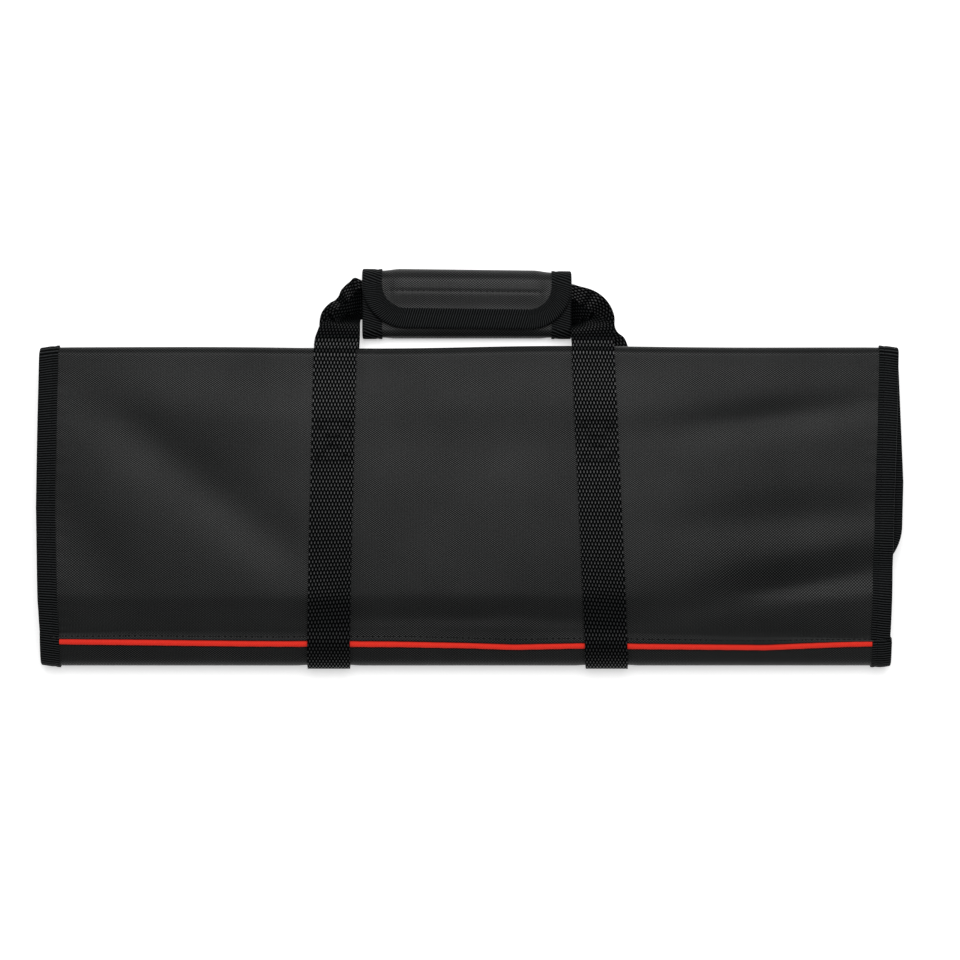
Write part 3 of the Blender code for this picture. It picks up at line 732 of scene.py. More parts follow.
    def point(self, x: np.ndarray, s: np.ndarray) -> np.ndarray:
        """Return the middle of the cloth at x along the roll and s along the fold.

        Args:
            x: The places along the roll, in metres.
            s: The lengths along the fold, in metres.

        Returns:
            A point for each place.
        """
        x, s = np.broadcast_arrays(np.asarray(x, float), np.asarray(s, float))
        shares, lifts = zip(*self.SEAM_DRIFT)
        drift = np.interp(x / self.length, shares, lifts)
        s = s - drift * np.exp(-((s - self.seam) / self.seam_reach) ** 2)
        shares, lifts = zip(*self.CREASE_DRIFT)
        crease = self.path.marks["front crease"]
        above = np.exp(-((s - crease) / self.crease_reach) ** 2)
        window = np.where(s < crease, above, 1 - smooth((s - crease) / (self.seam - crease)))
        wander = self.slow_wander(x) + 0.7 * MM * np.sin(x / (8.7 * MM) + 1.9)
        s = s + (np.interp(x / self.length, shares, lifts) + wander) * window
        y, z = self.path.at(s)
        near_top = np.exp(-((s - self.path.marks["top fold"]) / self.top_fold_reach) ** 2)
        ripple = np.sin(2 * np.pi * x / self.top_wave_length) * np.exp(-(x / self.top_wave_reach) ** 2)
        y = y + self.top_wave * ripple * near_top
        end = np.minimum(np.abs(2 * x / self.length), 1.0)
        z = self.back_z + (z - self.back_z) * (1 - self.end_drop * end ** 3)
        z = z - self.path.value(s, 2) * self.dents(x, y)
        inner = (self.right_strap[2] - self.left_strap[2]) / 2 - self.webbing_width * self.strap_rest
        middle = (self.right_strap[2] + self.left_strap[2]) / 2
        z = z - self.path.value(s, 3) * self.back_sag * np.maximum(0.0, 1 - ((x - middle) / inner) ** 2)
        pull = smooth((np.abs(x) - self.length / 2 + self.end_reach) / self.end_reach)
        centre = self.top_y - self.span / 2
        y = centre + (y - centre) * (1 - self.end_pull * pull)
        return np.stack((x, y, z), axis=-1)

    @staticmethod
    def slow_wander(x: np.ndarray) -> np.ndarray:
        """Return how far the low crease wanders slowly up and down along the roll."""
        return 1.3 * MM * np.sin(x / (21 * MM) + 0.6)

    def ends(self, s: np.ndarray) -> tuple[np.ndarray, np.ndarray, np.ndarray]:
        """Return the left end, the right end and the corners' inset at the lengths s.

        Args:
            s: The lengths along the fold, in metres.

        Returns:
            The two ends' x and how far the corners draw both in.
        """
        inner = np.clip(s, self.corner, self.path.length - self.corner)
        out = self.gap + self.tape_thickness
        left = -self.length / 2 + self.path.value(inner, 0) + out
        right = self.length / 2 - self.path.value(inner, 1) - out
        past = np.abs(s - inner)
        return left, right, self.corner - np.sqrt(np.maximum(self.corner ** 2 - past ** 2, 0.0))

    def relief(self, x: np.ndarray, s: np.ndarray) -> np.ndarray:
        """Return the fine swell of the cloth's outer face: hems, puckers and the straps' press.

        Args:
            x: The places along the roll, in metres.
            s: The lengths along the fold, in metres.

        Returns:
            How far the face stands out at each place, in metres.
        """
        above = self.seam - s
        hem = self.hem_rise * smooth((self.hem_top - above) / self.hem_slope)
        stitch = -self.stitch_sink * np.exp(-((above - self.hem_stitch) / self.stitch_groove) ** 2)
        below = s - self.path.marks["front crease"] + self.slow_wander(x)
        valley = -self.valley_depth * np.exp(-((below - self.valley_down) / self.valley_width) ** 2)
        valley = valley * np.exp(-(x / self.valley_reach) ** 4)
        pucker = np.sin(2 * np.pi * x / self.hem_pucker + 2.2 * np.sin(x / (19 * MM)))
        waves = 0.16 * MM * pucker * np.exp(-((above - 9 * MM) / (6 * MM)) ** 2)
        left, right, _ = self.ends(s)
        side = np.minimum(x - left, right - x) - self.tape
        edge = np.sin(2 * np.pi * s / self.side_pucker + 1.7 * np.sin(s / (23 * MM)))
        waves = waves + 0.12 * MM * edge * np.exp(-(side / (5 * MM)) ** 2)
        press = np.zeros_like(waves)
        for strap in Side:
            off = np.abs(x - self.strap_x(strap, s)) - self.webbing_width / 2
            press = press + self.strap_press * np.exp(-(np.maximum(off, 0) / (3.5 * MM)) ** 2)
        on_front = smooth((s - self.path.marks["front top"]) / 0.01) * (s < self.path.marks["back low"])
        return (hem + stitch + valley + waves) * (s < self.seam) - press * on_front

    def grid(self, start: float, end: float) -> tuple[np.ndarray, np.ndarray]:
        """Return x and s for a fine grid of the cloth between two lengths.

        Args:
            start: The first length along the fold.
            end: The last length.

        Returns:
            The grid's x and its s, by row and column.
        """
        corner = self.corner * (1 - np.cos(np.linspace(0, math.pi / 2, 15)))
        rows = self.path.rows(start, end)
        rows = rows[(rows > self.corner) & (rows < self.path.length - self.corner)]
        rounds = np.concatenate((corner, self.path.length - corner))
        extra = [c for c in rounds if start - 1e-9 <= c <= end + 1e-9]
        rows = np.unique(np.round(np.concatenate((rows, extra)), 7))
        left, right, inset = self.ends(rows)
        count = round(self.length / self.column_step)
        share = np.linspace(0, 1, count + 1)
        x = (left + inset)[:, None] + (right - left - 2 * inset)[:, None] * share[None, :]
        return x, np.repeat(rows[:, None], count + 1, axis=1)

    def sheet(
        self, name: str, node: str, start: float, end: float, material: bpy.types.Material
    ) -> bpy.types.Object:
        """Build and dress one of the cover's two lengths of cloth.

        Args:
            name: The piece's name.
            node: The frame's node that it replaces.
            start: Where it starts along the fold.
            end: Where it ends.
            material: Its finish.

        Returns:
            The new piece.
        """
        x, s = self.grid(start, end)
        middle = self.point(x, s)
        normal = normals_of(self.point, x, s)
        outer = middle + normal * (self.cloth / 2 + self.relief(x, s))[..., None]
        inner = middle - normal * self.cloth / 2
        piece = closed_sheet(name, outer, inner, np.stack((x, s), axis=-1))
        settle(piece, material, "cover_cloth", node)
        return piece

    def build(self, finish: WovenPolyester) -> list[bpy.types.Object]:
        """Build both lengths of the cover.

        Args:
            finish: The cover's cloth.

        Returns:
            The front and the back piece.
        """
        material = finish.material("woven_polyester")
        above, below = self.seam - self.seam_side, self.seam + self.seam_side
        front = self.sheet("cover_front_cloth", "front_cover", 0.0, above, material)
        back = self.sheet("cover_back_cloth", "back_cover", below, self.path.length, material)
        return [front, back]


class EdgePlace(NamedTuple):
    """A place on a sheet's edge, with the way inward in the sheet's own coordinates."""

    x: float
    s: float
    in_x: float
    in_s: float


@dataclass
class Tape:
    """Ribbed tape folded over a sheet's edge: a U that holds the cloth in its fold."""

    width: float
    thickness: float
    cloth: float
    gap: float = 0.0003
    flats: int = 8
    round_steps: int = 6
    stitch_line: float = 0.0030
    sink: float = 0.00038

    def section(self, point: PointMap, edge: EdgePlace) -> tuple[np.ndarray, np.ndarray]:
        """Return the tape's inner and outer faces at one place on the edge.

        Args:
            point: The sheet's surface.
            edge: The place on the sheet's edge.

        Returns:
            The inner face's and the outer face's points, from one lip round the edge to the other.
        """
        near = self.cloth / 2 + self.gap
        reach = np.linspace(1.0, 0.0, self.flats + 1)[:-1] * self.width
        spots_x, spots_s = edge.x + edge.in_x * reach, edge.s + edge.in_s * reach
        middle = point(spots_x, spots_s)
        normal = normals_of(point, spots_x, spots_s)
        start = point(np.array([edge.x]), np.array([edge.s]))[0]
        up = normals_of(point, np.array([edge.x]), np.array([edge.s]))[0]
        step = 0.5 * MM
        way = point(np.array([edge.x + edge.in_x * step]), np.array([edge.s + edge.in_s * step]))[0] - start
        way /= np.linalg.norm(way)
        turns = np.linspace(math.pi / 2, -math.pi / 2, self.round_steps + 1)
        groove = self.sink * np.exp(-((self.width - reach - self.stitch_line) / (0.8 * MM)) ** 2)[:, None]
        faces = []
        for extra in (0.0, self.thickness):
            high = near + extra
            bow = np.sin(turns)[:, None] * up * high - np.cos(turns)[:, None] * way * (self.gap + extra)
            held = normal * (high - groove)
            faces.append(np.concatenate((middle + held, start + bow, (middle - held)[::-1])))
        return faces[0], faces[1]

    def build(self, name: str, point: PointMap, places: Sequence[EdgePlace], ring: bool) -> bpy.types.Object:
        """Lay the tape along the places of an edge.

        Args:
            name: The piece's name.
            point: The sheet's surface.
            places: The edge's places in order.
            ring: True if the edge closes on itself.

        Returns:
            The new piece.
        """
        pairs = [self.section(point, place) for place in places]
        inner, outer = (np.array([pair[i] for pair in pairs]) for i in (0, 1))
        middle = self.flats + self.round_steps // 2
        steps = np.linalg.norm(np.diff(outer[:, middle], axis=0), axis=1)
        along = np.concatenate(([0.0], np.cumsum(steps)))
        total = along[-1] + (np.linalg.norm(outer[0, middle] - outer[-1, middle]) if ring else 0.0)
        widths = np.linalg.norm(np.diff(outer[len(outer) // 2], axis=0), axis=1)
        across = np.concatenate(([0.0], np.cumsum(widths)))
        uv = np.stack(np.broadcast_arrays(across[None, :], along[:, None]), axis=-1)
        LOG.info("%s: %.3f m of tape", name, total)
        return closed_sheet(name, outer[::-1], inner[::-1], uv[::-1], ring)


def side_places(rows: np.ndarray, ends: Callable, side: Side) -> list[EdgePlace]:
    """Return the edge places along one side of a sheet.

    Args:
        rows: The lengths of the rows.
        ends: The sheet's own ends.
        side: The side.

    Returns:
        A place for each row.
    """
    left, right, _ = ends(rows)
    xs = left if side is Side.LEFT else right
    return [EdgePlace(float(x), float(s), -side.value, 0.0) for x, s in zip(xs, rows)]


def corner_places(
    edge: float, centre: float, radius: float, side: Side, way: int, steps: int = 20
) -> list[EdgePlace]:
    """Return the edge places round one corner, from the sheet's side to its end.

    Args:
        edge: The side's x.
        centre: The corner's centre along the fold.
        radius: The corner's radius.
        side: The side of the sheet.
        way: 1 towards the sheet's last row, -1 towards its first.
        steps: How many places the corner has.

    Returns:
        The places in order.
    """
    places = []
    for turn in np.linspace(math.pi / 2, 0, steps + 1)[1:]:
        reach, back = math.sin(turn), math.cos(turn)
        x = edge - side.value * radius * (1 - reach)
        places.append(EdgePlace(x, centre + way * radius * back, -side.value * reach, -way * back))
    return places


@dataclass
class CoverEdge:
    """The cover's binding and piping."""

    cover: Cover
    spacing: float = 0.0022

    def ring(self) -> list[EdgePlace]:
        """Return the places round the cover's whole edge.

        Returns:
            The places in order, each once.
        """
        cover, corner, length = self.cover, self.cover.corner, self.cover.path.length
        rows = cover.path.rows(corner, length - corner)
        rows = self.even(rows)
        places = side_places(rows, cover.ends, Side.LEFT)
        left, right, _ = (float(v) for v in cover.ends(np.array(length)))
        places += corner_places(left, length - corner, corner, Side.LEFT, 1)
        across = np.arange(left + corner, right - corner, self.spacing)[1:]
        places += [EdgePlace(float(x), length, 0.0, -1.0) for x in across]
        places += corner_places(right, length - corner, corner, Side.RIGHT, 1)[::-1]
        places += side_places(rows, cover.ends, Side.RIGHT)[::-1]
        left, right, _ = (float(v) for v in cover.ends(np.array(0.0)))
        places += corner_places(right, corner, corner, Side.RIGHT, -1)
        across = np.arange(right - corner, left + corner, -self.spacing)[1:]
        places += [EdgePlace(float(x), 0.0, 0.0, 1.0) for x in across]
        places += corner_places(left, corner, corner, Side.LEFT, -1)[::-1]
        return places

    def even(self, rows: np.ndarray) -> np.ndarray:
        """Return rows no further apart than the spacing.

        Args:
            rows: The rows to fill up.

        Returns:
            The rows with more between them.
        """
        made = [float(rows[0])]
        for low, high in zip(rows, rows[1:]):
            count = max(1, math.ceil((high - low) / self.spacing))
            made += [low + (high - low) * (i + 1) / count for i in range(count)]
        return np.array(made)

    def build_tape(self, finish: RibbedTape) -> bpy.types.Object:
        """Build and dress the tape round the cover's whole edge.

        Args:
            finish: The tape's finish.

        Returns:
            The new piece.
        """
        tape = Tape(self.cover.tape, self.cover.tape_thickness, self.cover.cloth, self.cover.gap)
        piece = tape.build("cover_edge_tape", self.cover.point, self.ring(), ring=True)
        settle(piece, finish.material("ribbed_binding_tape"), "ribbed_tape", "edge_binding")
        return piece

    def build_piping(self, finish: PipingTwill) -> bpy.types.Object:
        """Build and dress the red piping: a covered cord that lies in the seam.

        Args:
            finish: The piping's finish.

        Returns:
            The new piece.
        """
        cover = self.cover
        left, right, _ = (float(v) for v in cover.ends(np.array(cover.seam)))
        inset = cover.tape + cover.gap
        x = np.linspace(left + inset, right - inset, 700)
        s = np.full_like(x, cover.seam)
        lift = 0.6 * MM
        normal = normals_of(cover.point, x, s)
        centre = cover.point(x, s) + normal * lift
        along = unit(np.gradient(centre, axis=0))
        across = np.cross(along, normal)
        turns = np.linspace(0, 2 * np.pi, 17)[:-1]
        ripple = 1 - 0.02 * (1 + np.sin(2 * np.pi * x / (11 * MM)))
        rim = np.cos(turns)[None, :, None] * normal[:, None] + np.sin(turns)[None, :, None] * across[:, None]
        outer = centre[:, None] + rim * (cover.piping * ripple)[:, None, None]
        piece = self.cord("seam_piping", outer, x, turns * cover.piping)
        settle(piece, finish.material("red_piping_twill"), "piping_cloth", "piping")
        return piece

    @staticmethod
    def cord(name: str, outer: np.ndarray, along: np.ndarray, across: np.ndarray) -> bpy.types.Object:
        """Make a closed cord from rings of points, with flat ends.

        Args:
            name: The piece's name.
            outer: The points by ring and place round it.
            along: Each ring's place along the cord.
            across: Each place round a ring, in metres.

        Returns:
            The new piece.
        """
        rows, wide = outer.shape[:2]
        faces = []
        for r in range(rows - 1):
            for c in range(wide):
                d = (c + 1) % wide
                faces.append((r * wide + c, r * wide + d, (r + 1) * wide + d, (r + 1) * wide + c))
        faces.append(tuple(range(wide))[::-1])
        faces.append(tuple((rows - 1) * wide + c for c in range(wide)))
        mesh = bpy.data.meshes.new(name)
        mesh.from_pydata(outer.reshape(-1, 3).tolist(), [], faces)
        layer = mesh.uv_layers.new(name=THREAD_MAP)
        round_step = across[1] - across[0]
        for polygon in mesh.polygons:
            columns = [mesh.loops[i].vertex_index % wide for i in polygon.loop_indices]
            closing = len(columns) == 4 and max(columns) - min(columns) > 1
            for i, column in zip(polygon.loop_indices, columns):
                u = across[column] + (round_step * wide if closing and column == 0 else 0.0)
                layer.data[i].uv = (u, along[mesh.loops[i].vertex_index // wide])
        mesh.shade_smooth()
        mesh.set_sharp_from_angle(angle=math.radians(60))
        piece = bpy.data.objects.new(name, mesh)
        bpy.context.scene.collection.objects.link(piece)
        return piece


@dataclass
class Handle:
    """The padded wrap that holds the two webbing loops together."""

    cover: Cover
    finger_gap: float = 0.0055
    length: float = 0.1241
    width: float = 0.041
    shift: float = -0.0019
    cloth: float = 0.0020
    tape: float = 0.011
    tape_thickness: float = 0.0006
    corner: float = 0.025
    puff: float = 0.0011
    quilt: float = 0.0051
    quilt_width: float = 0.75 * MM
    quilt_depth: float = 0.45
    pad_edge: float = 11 * MM
    under_end: float = 0.72
    flap_end: float = 0.14
    flap_tilt: float = -0.012
    path: FoldPath = field(init=False)

    def __post_init__(self) -> None:
        """Work out the wrap's turn and the loops' levels from the sizes."""
        gap, web = self.cover.gap, self.cover.webbing
        self.low_y = self.cover.top_y + self.cover.cloth / 2 + self.finger_gap
        self.left, self.right = self.shift - self.length / 2, self.shift + self.length / 2
        self.out = gap + self.tape_thickness
        bound = self.cloth + 2 * self.out
        floor_z = bound / 2
        self.rear_z = bound + gap + web / 2
        self.front_z = self.rear_z + web + gap
        under_z = self.front_z + web / 2 + gap + bound / 2
        flap_z = under_z + bound + gap
        low_radius, high_radius = (under_z - floor_z) / 2, (flap_z - floor_z) / 2
        low, high = self.low_y + bound / 2, self.low_y + self.width - bound / 2
        flap_y = self.low_y + self.width * self.flap_end + self.out
        step = 2.0 * MM
        self.path = FoldPath((
            PathKnot("under end", self.low_y + self.width * self.under_end, under_z, 180, (0,), step),
            PathKnot("under fold", low + low_radius, under_z, 180, (0,), step),
            PathKnot("lower fold", low, floor_z + low_radius, 270, (0,), step),
            PathKnot("floor start", low + low_radius, floor_z, 360, (0,), step),
            PathKnot("floor end", high - high_radius, floor_z, 360, (0,), step),
            PathKnot("upper fold", high, floor_z + high_radius, 450, (0,), step),
            PathKnot("flap start", high - high_radius, flap_z, 540, (0,), 1.2 * MM),
            PathKnot("flap end", flap_y, flap_z, 540, (0,), 1.2 * MM),
        ))

    def point(self, x: np.ndarray, s: np.ndarray) -> np.ndarray:
        """Return the middle of the wrap's cloth at x along the handle and s along its turn.

        Args:
            x: The places along the handle.
            s: The lengths along the wrap's turn.

        Returns:
            A point for each place.
        """
        x, s = np.broadcast_arrays(np.asarray(x, float), np.asarray(s, float))
        y, z = self.path.at(s)
        tilt = self.flap_tilt * (x - self.shift) * smooth((s - self.path.marks["floor end"]) / 0.01)
        return np.stack((x, y + tilt, z), axis=-1)

    def ends(self, s: np.ndarray) -> tuple[np.ndarray, np.ndarray, np.ndarray]:
        """Return the left end, the right end and the flap corners' inset at the lengths s.

        Args:
            s: The lengths along the wrap's turn.

        Returns:
            The two ends' x and how far the flap's corners draw both in.
        """
        past = np.maximum(s - (self.path.length - self.corner), 0.0)
        inset = self.corner - np.sqrt(np.maximum(self.corner ** 2 - past ** 2, 0.0))
        flat = np.ones_like(past)
        return (self.left + self.out) * flat, (self.right - self.out) * flat, inset

    def padding(self, x: np.ndarray, s: np.ndarray) -> np.ndarray:
        """Return how far the wrap's padding swells its outer face.

        Args:
            x: The places along the handle.
            s: The lengths along the wrap's turn.

        Returns:
            The swell at each place, in metres.
        """
        left, right, inset = self.ends(s)
        side = np.minimum(x - left - inset, right - inset - x) - self.tape
        end = self.path.length - s - self.tape
        inside = np.minimum(side, np.maximum(end, -0.01))
        on_top = smooth((s - self.path.marks["floor end"]) / (10 * MM))
        swell = self.puff * smooth(inside / self.pad_edge) * (0.75 + 0.25 * on_top)
        quilt = self.path.marks["flap start"] + self.quilt
        line = np.exp(-((s - quilt) / self.quilt_width) ** 2) * smooth((side + 2 * MM) / (4 * MM))
        pucker = 0.12 * MM * np.sin(2 * np.pi * x / (5.7 * MM)) * np.exp(-(np.abs(s - quilt) / (4 * MM)) ** 2)
        return np.maximum(swell * (1 - self.quilt_depth * line) + pucker * smooth(inside / (3 * MM)), -0.1 * MM)

    def build(self, cloth: WovenPolyester, tape_finish: RibbedTape) -> list[bpy.types.Object]:
        """Build and dress the wrap and its tape.

        Args:
            cloth: The wrap's cloth.
            tape_finish: The finish of the tape.

        Returns:
            The wrap and its tape.
        """
        length = self.path.length
        corner = length - self.corner * (1 - np.cos(np.linspace(0, math.pi / 2, 44)))
        rows = self.path.rows(0.0, length)
        rows = np.unique(np.round(np.concatenate((rows[rows < length - self.corner - 0.5 * MM], corner)), 7))
        left, right, inset = self.ends(rows)
        share = np.linspace(0, 1, 90)
        x = (left + inset)[:, None] + (right - left - 2 * inset)[:, None] * share[None, :]
        s = np.repeat(rows[:, None], len(share), axis=1)
        middle, normal = self.point(x, s), normals_of(self.point, x, s)
        hidden = s < self.path.marks["lower fold"]
        swell = np.where(hidden, 0.0, self.padding(x, s))
        low_side = (s > self.path.marks["lower fold"]) & (s < self.path.marks["upper fold"])
        swell = np.where(low_side, np.minimum(swell, 0.5 * MM), swell)
        outer = middle + normal * (self.cloth / 2 + swell)[..., None]
        inner = middle - normal * self.cloth / 2
        wrap = closed_sheet("handle_wrap_cloth", outer, inner, np.stack((x, s), axis=-1))
        settle(wrap, cloth.material("padded_wrap_polyester"), "wrap_cloth", "handle_wrap")
        last, low, high = length - self.corner, self.left + self.out, self.right - self.out
        sides = np.unique(np.round(np.concatenate((rows[rows < last], [last])), 7))
        places = side_places(sides, self.ends, Side.LEFT)
        places += corner_places(low, last, self.corner, Side.LEFT, 1)
        across = np.arange(low + self.corner, high - self.corner, 1.5 * MM)[1:]
        places += [EdgePlace(float(x), length, 0.0, -1.0) for x in across]
        places += corner_places(high, last, self.corner, Side.RIGHT, 1)[::-1]
        places += side_places(sides, self.ends, Side.RIGHT)[::-1]
        self.places = places
        tape = Tape(self.tape, self.tape_thickness, self.cloth, self.cover.gap)
        binding = tape.build("handle_wrap_tape", self.point, places, ring=False)
        settle(binding, tape_finish.material("ribbed_wrap_tape"), "ribbed_tape", "wrap_binding")
        return [wrap, binding]


class LoopRow(NamedTuple):
    """One row of webbing in a loop's turn, in millimetres from the wrap's lower corner at that end.

    out runs away from the wrap along X and up runs along Y. Each row has its outer edge, the crease
    where its outer share folds over the rest, and its inner edge, each with a height.
    """

    outer_out: float
    outer_up: float
    outer_z: float
    crease_out: float
    crease_up: float
    inner_out: float
    inner_up: float
    inner_z: float
    step: float
    shown: float


@dataclass
class Carrier:
    """The webbing: straps round the cover and the two loops out to the handle."""

    cover: Cover
    handle: Handle
    join: float = 0.020
    rise: float = 0.013
    piping_lift: float = 0.0006
    leave_angle: float = 32.0
    rear_shift: float = 0.0010
    front_shift: float = -0.0003
    box_top: float = 0.0273
    box_size: tuple[float, float] = (0.021, 0.0235)
    fine: float = 0.5625 * MM
    columns: int = 50
    front_rows: int = 420
    rear_rows: int = 160
    turn_rows: int = 150
    bridge_rows: int = 14
    grip_reach: float = 14 * MM
    loop_press: float = 0.42
    loop_press_reach: float = 8 * MM
    selvedge: float = 0.3 * MM

    FRONT = {
        Side.LEFT: (
            LoopRow(26.8, 0.5, 30.5, 26.3, 0.5, 1.6, 0.5, 30.0, 0.0, 0.02),
            LoopRow(25.6, 4.0, 28.2, 25.1, 4.0, 1.5, 4.0, 27.0, 0.0, 0.02),
            LoopRow(24.2, 7.2, 25.5, 23.7, 7.2, 1.4, 6.8, 23.5, 0.0, 0.02),
            LoopRow(21.4, 10.8, 23.0, 20.2, 8.9, 1.4, 8.4, 20.5, 0.8, 0.09),
            LoopRow(18.6, 13.9, 21.2, 16.4, 9.6, 1.4, 9.6, 18.0, 2.0, 0.20),
            LoopRow(15.4, 16.9, 19.0, 13.2, 10.5, 1.3, 10.5, 15.5, 2.8, 0.28),
            LoopRow(10.7, 20.5, 16.0, 8.9, 11.9, 1.2, 11.3, 12.5, 3.0, 0.37),
            LoopRow(5.4, 25.8, 12.0, 4.2, 13.1, 0.7, 11.9, 9.0, 2.4, 0.51),
            LoopRow(0.1, 30.6, 7.2, -0.5, 14.2, -1.1, 12.2, 6.9, 0.2, 0.66),
            LoopRow(-4.0, 31.6, 6.8, -4.4, 14.8, -4.7, 9.5, 6.8, 0.0, 0.66),
        ),
        Side.RIGHT: (
            LoopRow(24.5, 0.0, 30.5, 24.0, 0.0, -0.7, 0.0, 30.5, 0.0, 0.02),
            LoopRow(24.7, 4.0, 28.0, 24.2, 4.0, -0.7, 2.8, 28.0, 0.0, 0.02),
            LoopRow(23.6, 6.7, 26.0, 23.1, 6.7, -0.7, 4.6, 25.0, 0.2, 0.02),
            LoopRow(21.0, 9.3, 23.5, 20.6, 9.0, -0.6, 5.8, 21.5, 1.0, 0.03),
            LoopRow(16.9, 12.0, 21.0, 15.7, 11.6, -0.5, 6.4, 18.0, 2.2, 0.06),
            LoopRow(12.8, 15.2, 18.0, 11.0, 10.8, -0.3, 6.8, 14.5, 3.0, 0.19),
            LoopRow(8.1, 18.7, 14.8, 6.3, 9.6, -0.2, 7.0, 11.5, 3.0, 0.37),
            LoopRow(3.4, 22.0, 11.0, 2.8, 8.4, -0.2, 7.1, 8.8, 2.0, 0.54),
            LoopRow(-0.4, 24.6, 7.0, -0.4, 7.6, -0.4, 6.9, 6.9, 0.2, 0.68),
            LoopRow(-4.5, 27.5, 6.8, -4.5, 9.5, -4.5, 7.2, 6.8, 0.0, 0.68),
        ),
    }
    REAR = {
        Side.LEFT: (
            LoopRow(25.9, -4.2, 1.0, 25.4, -4.2, 1.9, -4.2, 1.0, 0.0, 0.02),
            LoopRow(25.4, 2.8, 1.5, 24.9, 2.8, 1.6, 1.6, 1.5, 0.0, 0.02),
            LoopRow(25.7, 9.3, 2.2, 25.2, 9.3, 1.5, 5.8, 2.0, 0.0, 0.02),
            LoopRow(24.5, 15.5, 2.9, 24.0, 15.3, 1.5, 8.1, 2.6, 0.0, 0.02),
            LoopRow(19.8, 21.3, 3.6, 19.4, 21.1, 1.5, 9.9, 3.2, 0.0, 0.02),
            LoopRow(16.3, 23.4, 3.1, 15.9, 23.1, 1.4, 10.6, 3.5, 0.0, 0.02),
            LoopRow(14.3, 25.5, 3.6, 13.9, 25.2, 1.4, 11.0, 3.8, 0.0, 0.02),
            LoopRow(12.6, 29.3, 4.6, 12.3, 29.0, 1.3, 11.3, 4.0, 0.0, 0.02),
            LoopRow(10.0, 32.2, 4.4, 9.8, 31.8, 1.2, 11.5, 4.2, 0.0, 0.02),
            LoopRow(7.4, 34.3, 4.6, 7.2, 33.9, 0.9, 11.6, 4.4, 0.0, 0.02),
            LoopRow(4.6, 36.6, 5.3, 4.5, 36.2, 0.4, 11.7, 4.6, 0.0, 0.02),
            LoopRow(1.8, 35.6, 5.1, 1.7, 35.2, -0.3, 11.7, 4.8, 0.0, 0.02),
            LoopRow(-1.0, 34.2, 4.9, -1.0, 33.8, -1.5, 11.2, 4.9, 0.0, 0.02),
        ),
        Side.RIGHT: (
            LoopRow(33.9, -4.2, 1.0, 33.4, -4.2, 9.5, -5.4, 1.0, 0.0, 0.02),
            LoopRow(31.6, 1.0, 1.4, 31.1, 1.0, 6.3, -2.0, 1.2, 0.0, 0.02),
            LoopRow(27.2, 4.9, 1.8, 26.7, 4.9, 2.8, 1.6, 1.6, 0.0, 0.02),
            LoopRow(25.9, 8.1, 2.2, 25.4, 8.1, 1.0, 4.6, 2.0, 0.0, 0.02),
            LoopRow(25.7, 13.4, 2.8, 25.2, 13.2, 0.1, 6.3, 2.6, 0.0, 0.02),
            LoopRow(23.3, 19.9, 3.6, 22.9, 19.6, -0.1, 7.2, 3.3, 0.0, 0.02),
            LoopRow(18.1, 26.0, 4.6, 17.8, 25.6, -0.2, 7.5, 3.8, 0.0, 0.02),
            LoopRow(14.5, 28.4, 4.4, 14.3, 28.0, -0.2, 7.6, 4.1, 0.0, 0.02),
            LoopRow(11.0, 29.9, 5.2, 10.8, 29.5, -0.2, 7.7, 4.4, 0.0, 0.02),
            LoopRow(5.7, 31.3, 5.2, 5.6, 30.9, -0.2, 7.7, 4.7, 0.0, 0.02),
            LoopRow(0.1, 32.8, 4.9, 0.1, 32.4, -0.2, 7.6, 4.9, 0.0, 0.02),
            LoopRow(-3.0, 33.1, 4.9, -3.0, 32.7, -3.0, 8.1, 4.9, 0.0, 0.02),
        ),
    }

    def laid(self, side: Side, s: np.ndarray) -> np.ndarray:
        """Return a strap's rows on the cover: outer edge, both sides of the crease, inner edge.

        Args:
            side: The strap.
            s: The lengths along the fold, in metres.

        Returns:
            Four points for each row.
        """
        rise = np.abs(s - self.cover.seam) / self.rise
        bump = self.piping_lift + self.cover.piping - self.cover.cloth / 2
        lift = self.cover.webbing_offset + bump * np.cos(np.pi / 2 * np.minimum(rise, 1.0)) ** 2
        half = self.cover.webbing_width / 2
        x = self.cover.strap_x(side, s)[:, None] + side.value * half * self.shares(0.02)[None, :]
        places = np.repeat(s[:, None], 4, axis=1)
        return self.cover.point(x, places) + normals_of(self.cover.point, x, places) * lift[:, None, None]

    @staticmethod
    def shares(shown: float) -> np.ndarray:
        """Return the four columns' places across a flat row, from 1 at the outer edge to -1."""
        return np.array((1, 1 - 2 * shown, 1 - 2 * shown, -1))

    def turn(self, side: Side, table: Sequence[LoopRow]) -> tuple[np.ndarray, np.ndarray]:
        """Return the rows of a loop's turn and the share of each that lies over its crease.

        Args:
            side: The loop's side.
            table: The turn's own rows, from the cover to the wrap.

        Returns:
            The rows in metres and their shares.
        """
        handle = self.handle
        end = handle.left if side is Side.LEFT else handle.right
        rows = []
        for row in table:
            crease_z = row.outer_z + (row.inner_z - row.outer_z) * row.shown + 0.4 * row.step
            fold = (row.crease_out, row.crease_up)
            places = ((row.outer_out, row.outer_up, row.outer_z), (*fold, crease_z),
                      (*fold, crease_z - row.step), (row.inner_out, row.inner_up, row.inner_z))
            rows.append([
                (end + side.value * out * MM, handle.low_y + up * MM, z * MM) for out, up, z in places
            ])
        knots = np.array(rows)
        run = np.concatenate(([0.0], np.cumsum(np.linalg.norm(np.diff(knots[:, 0], axis=0), axis=1))))
        at = np.linspace(0, run[-1], self.turn_rows)
        shares = np.interp(at, run, [row.shown for row in table])
        return curve_through(run, knots.reshape(len(knots), -1), at).reshape(-1, 4, 3), shares

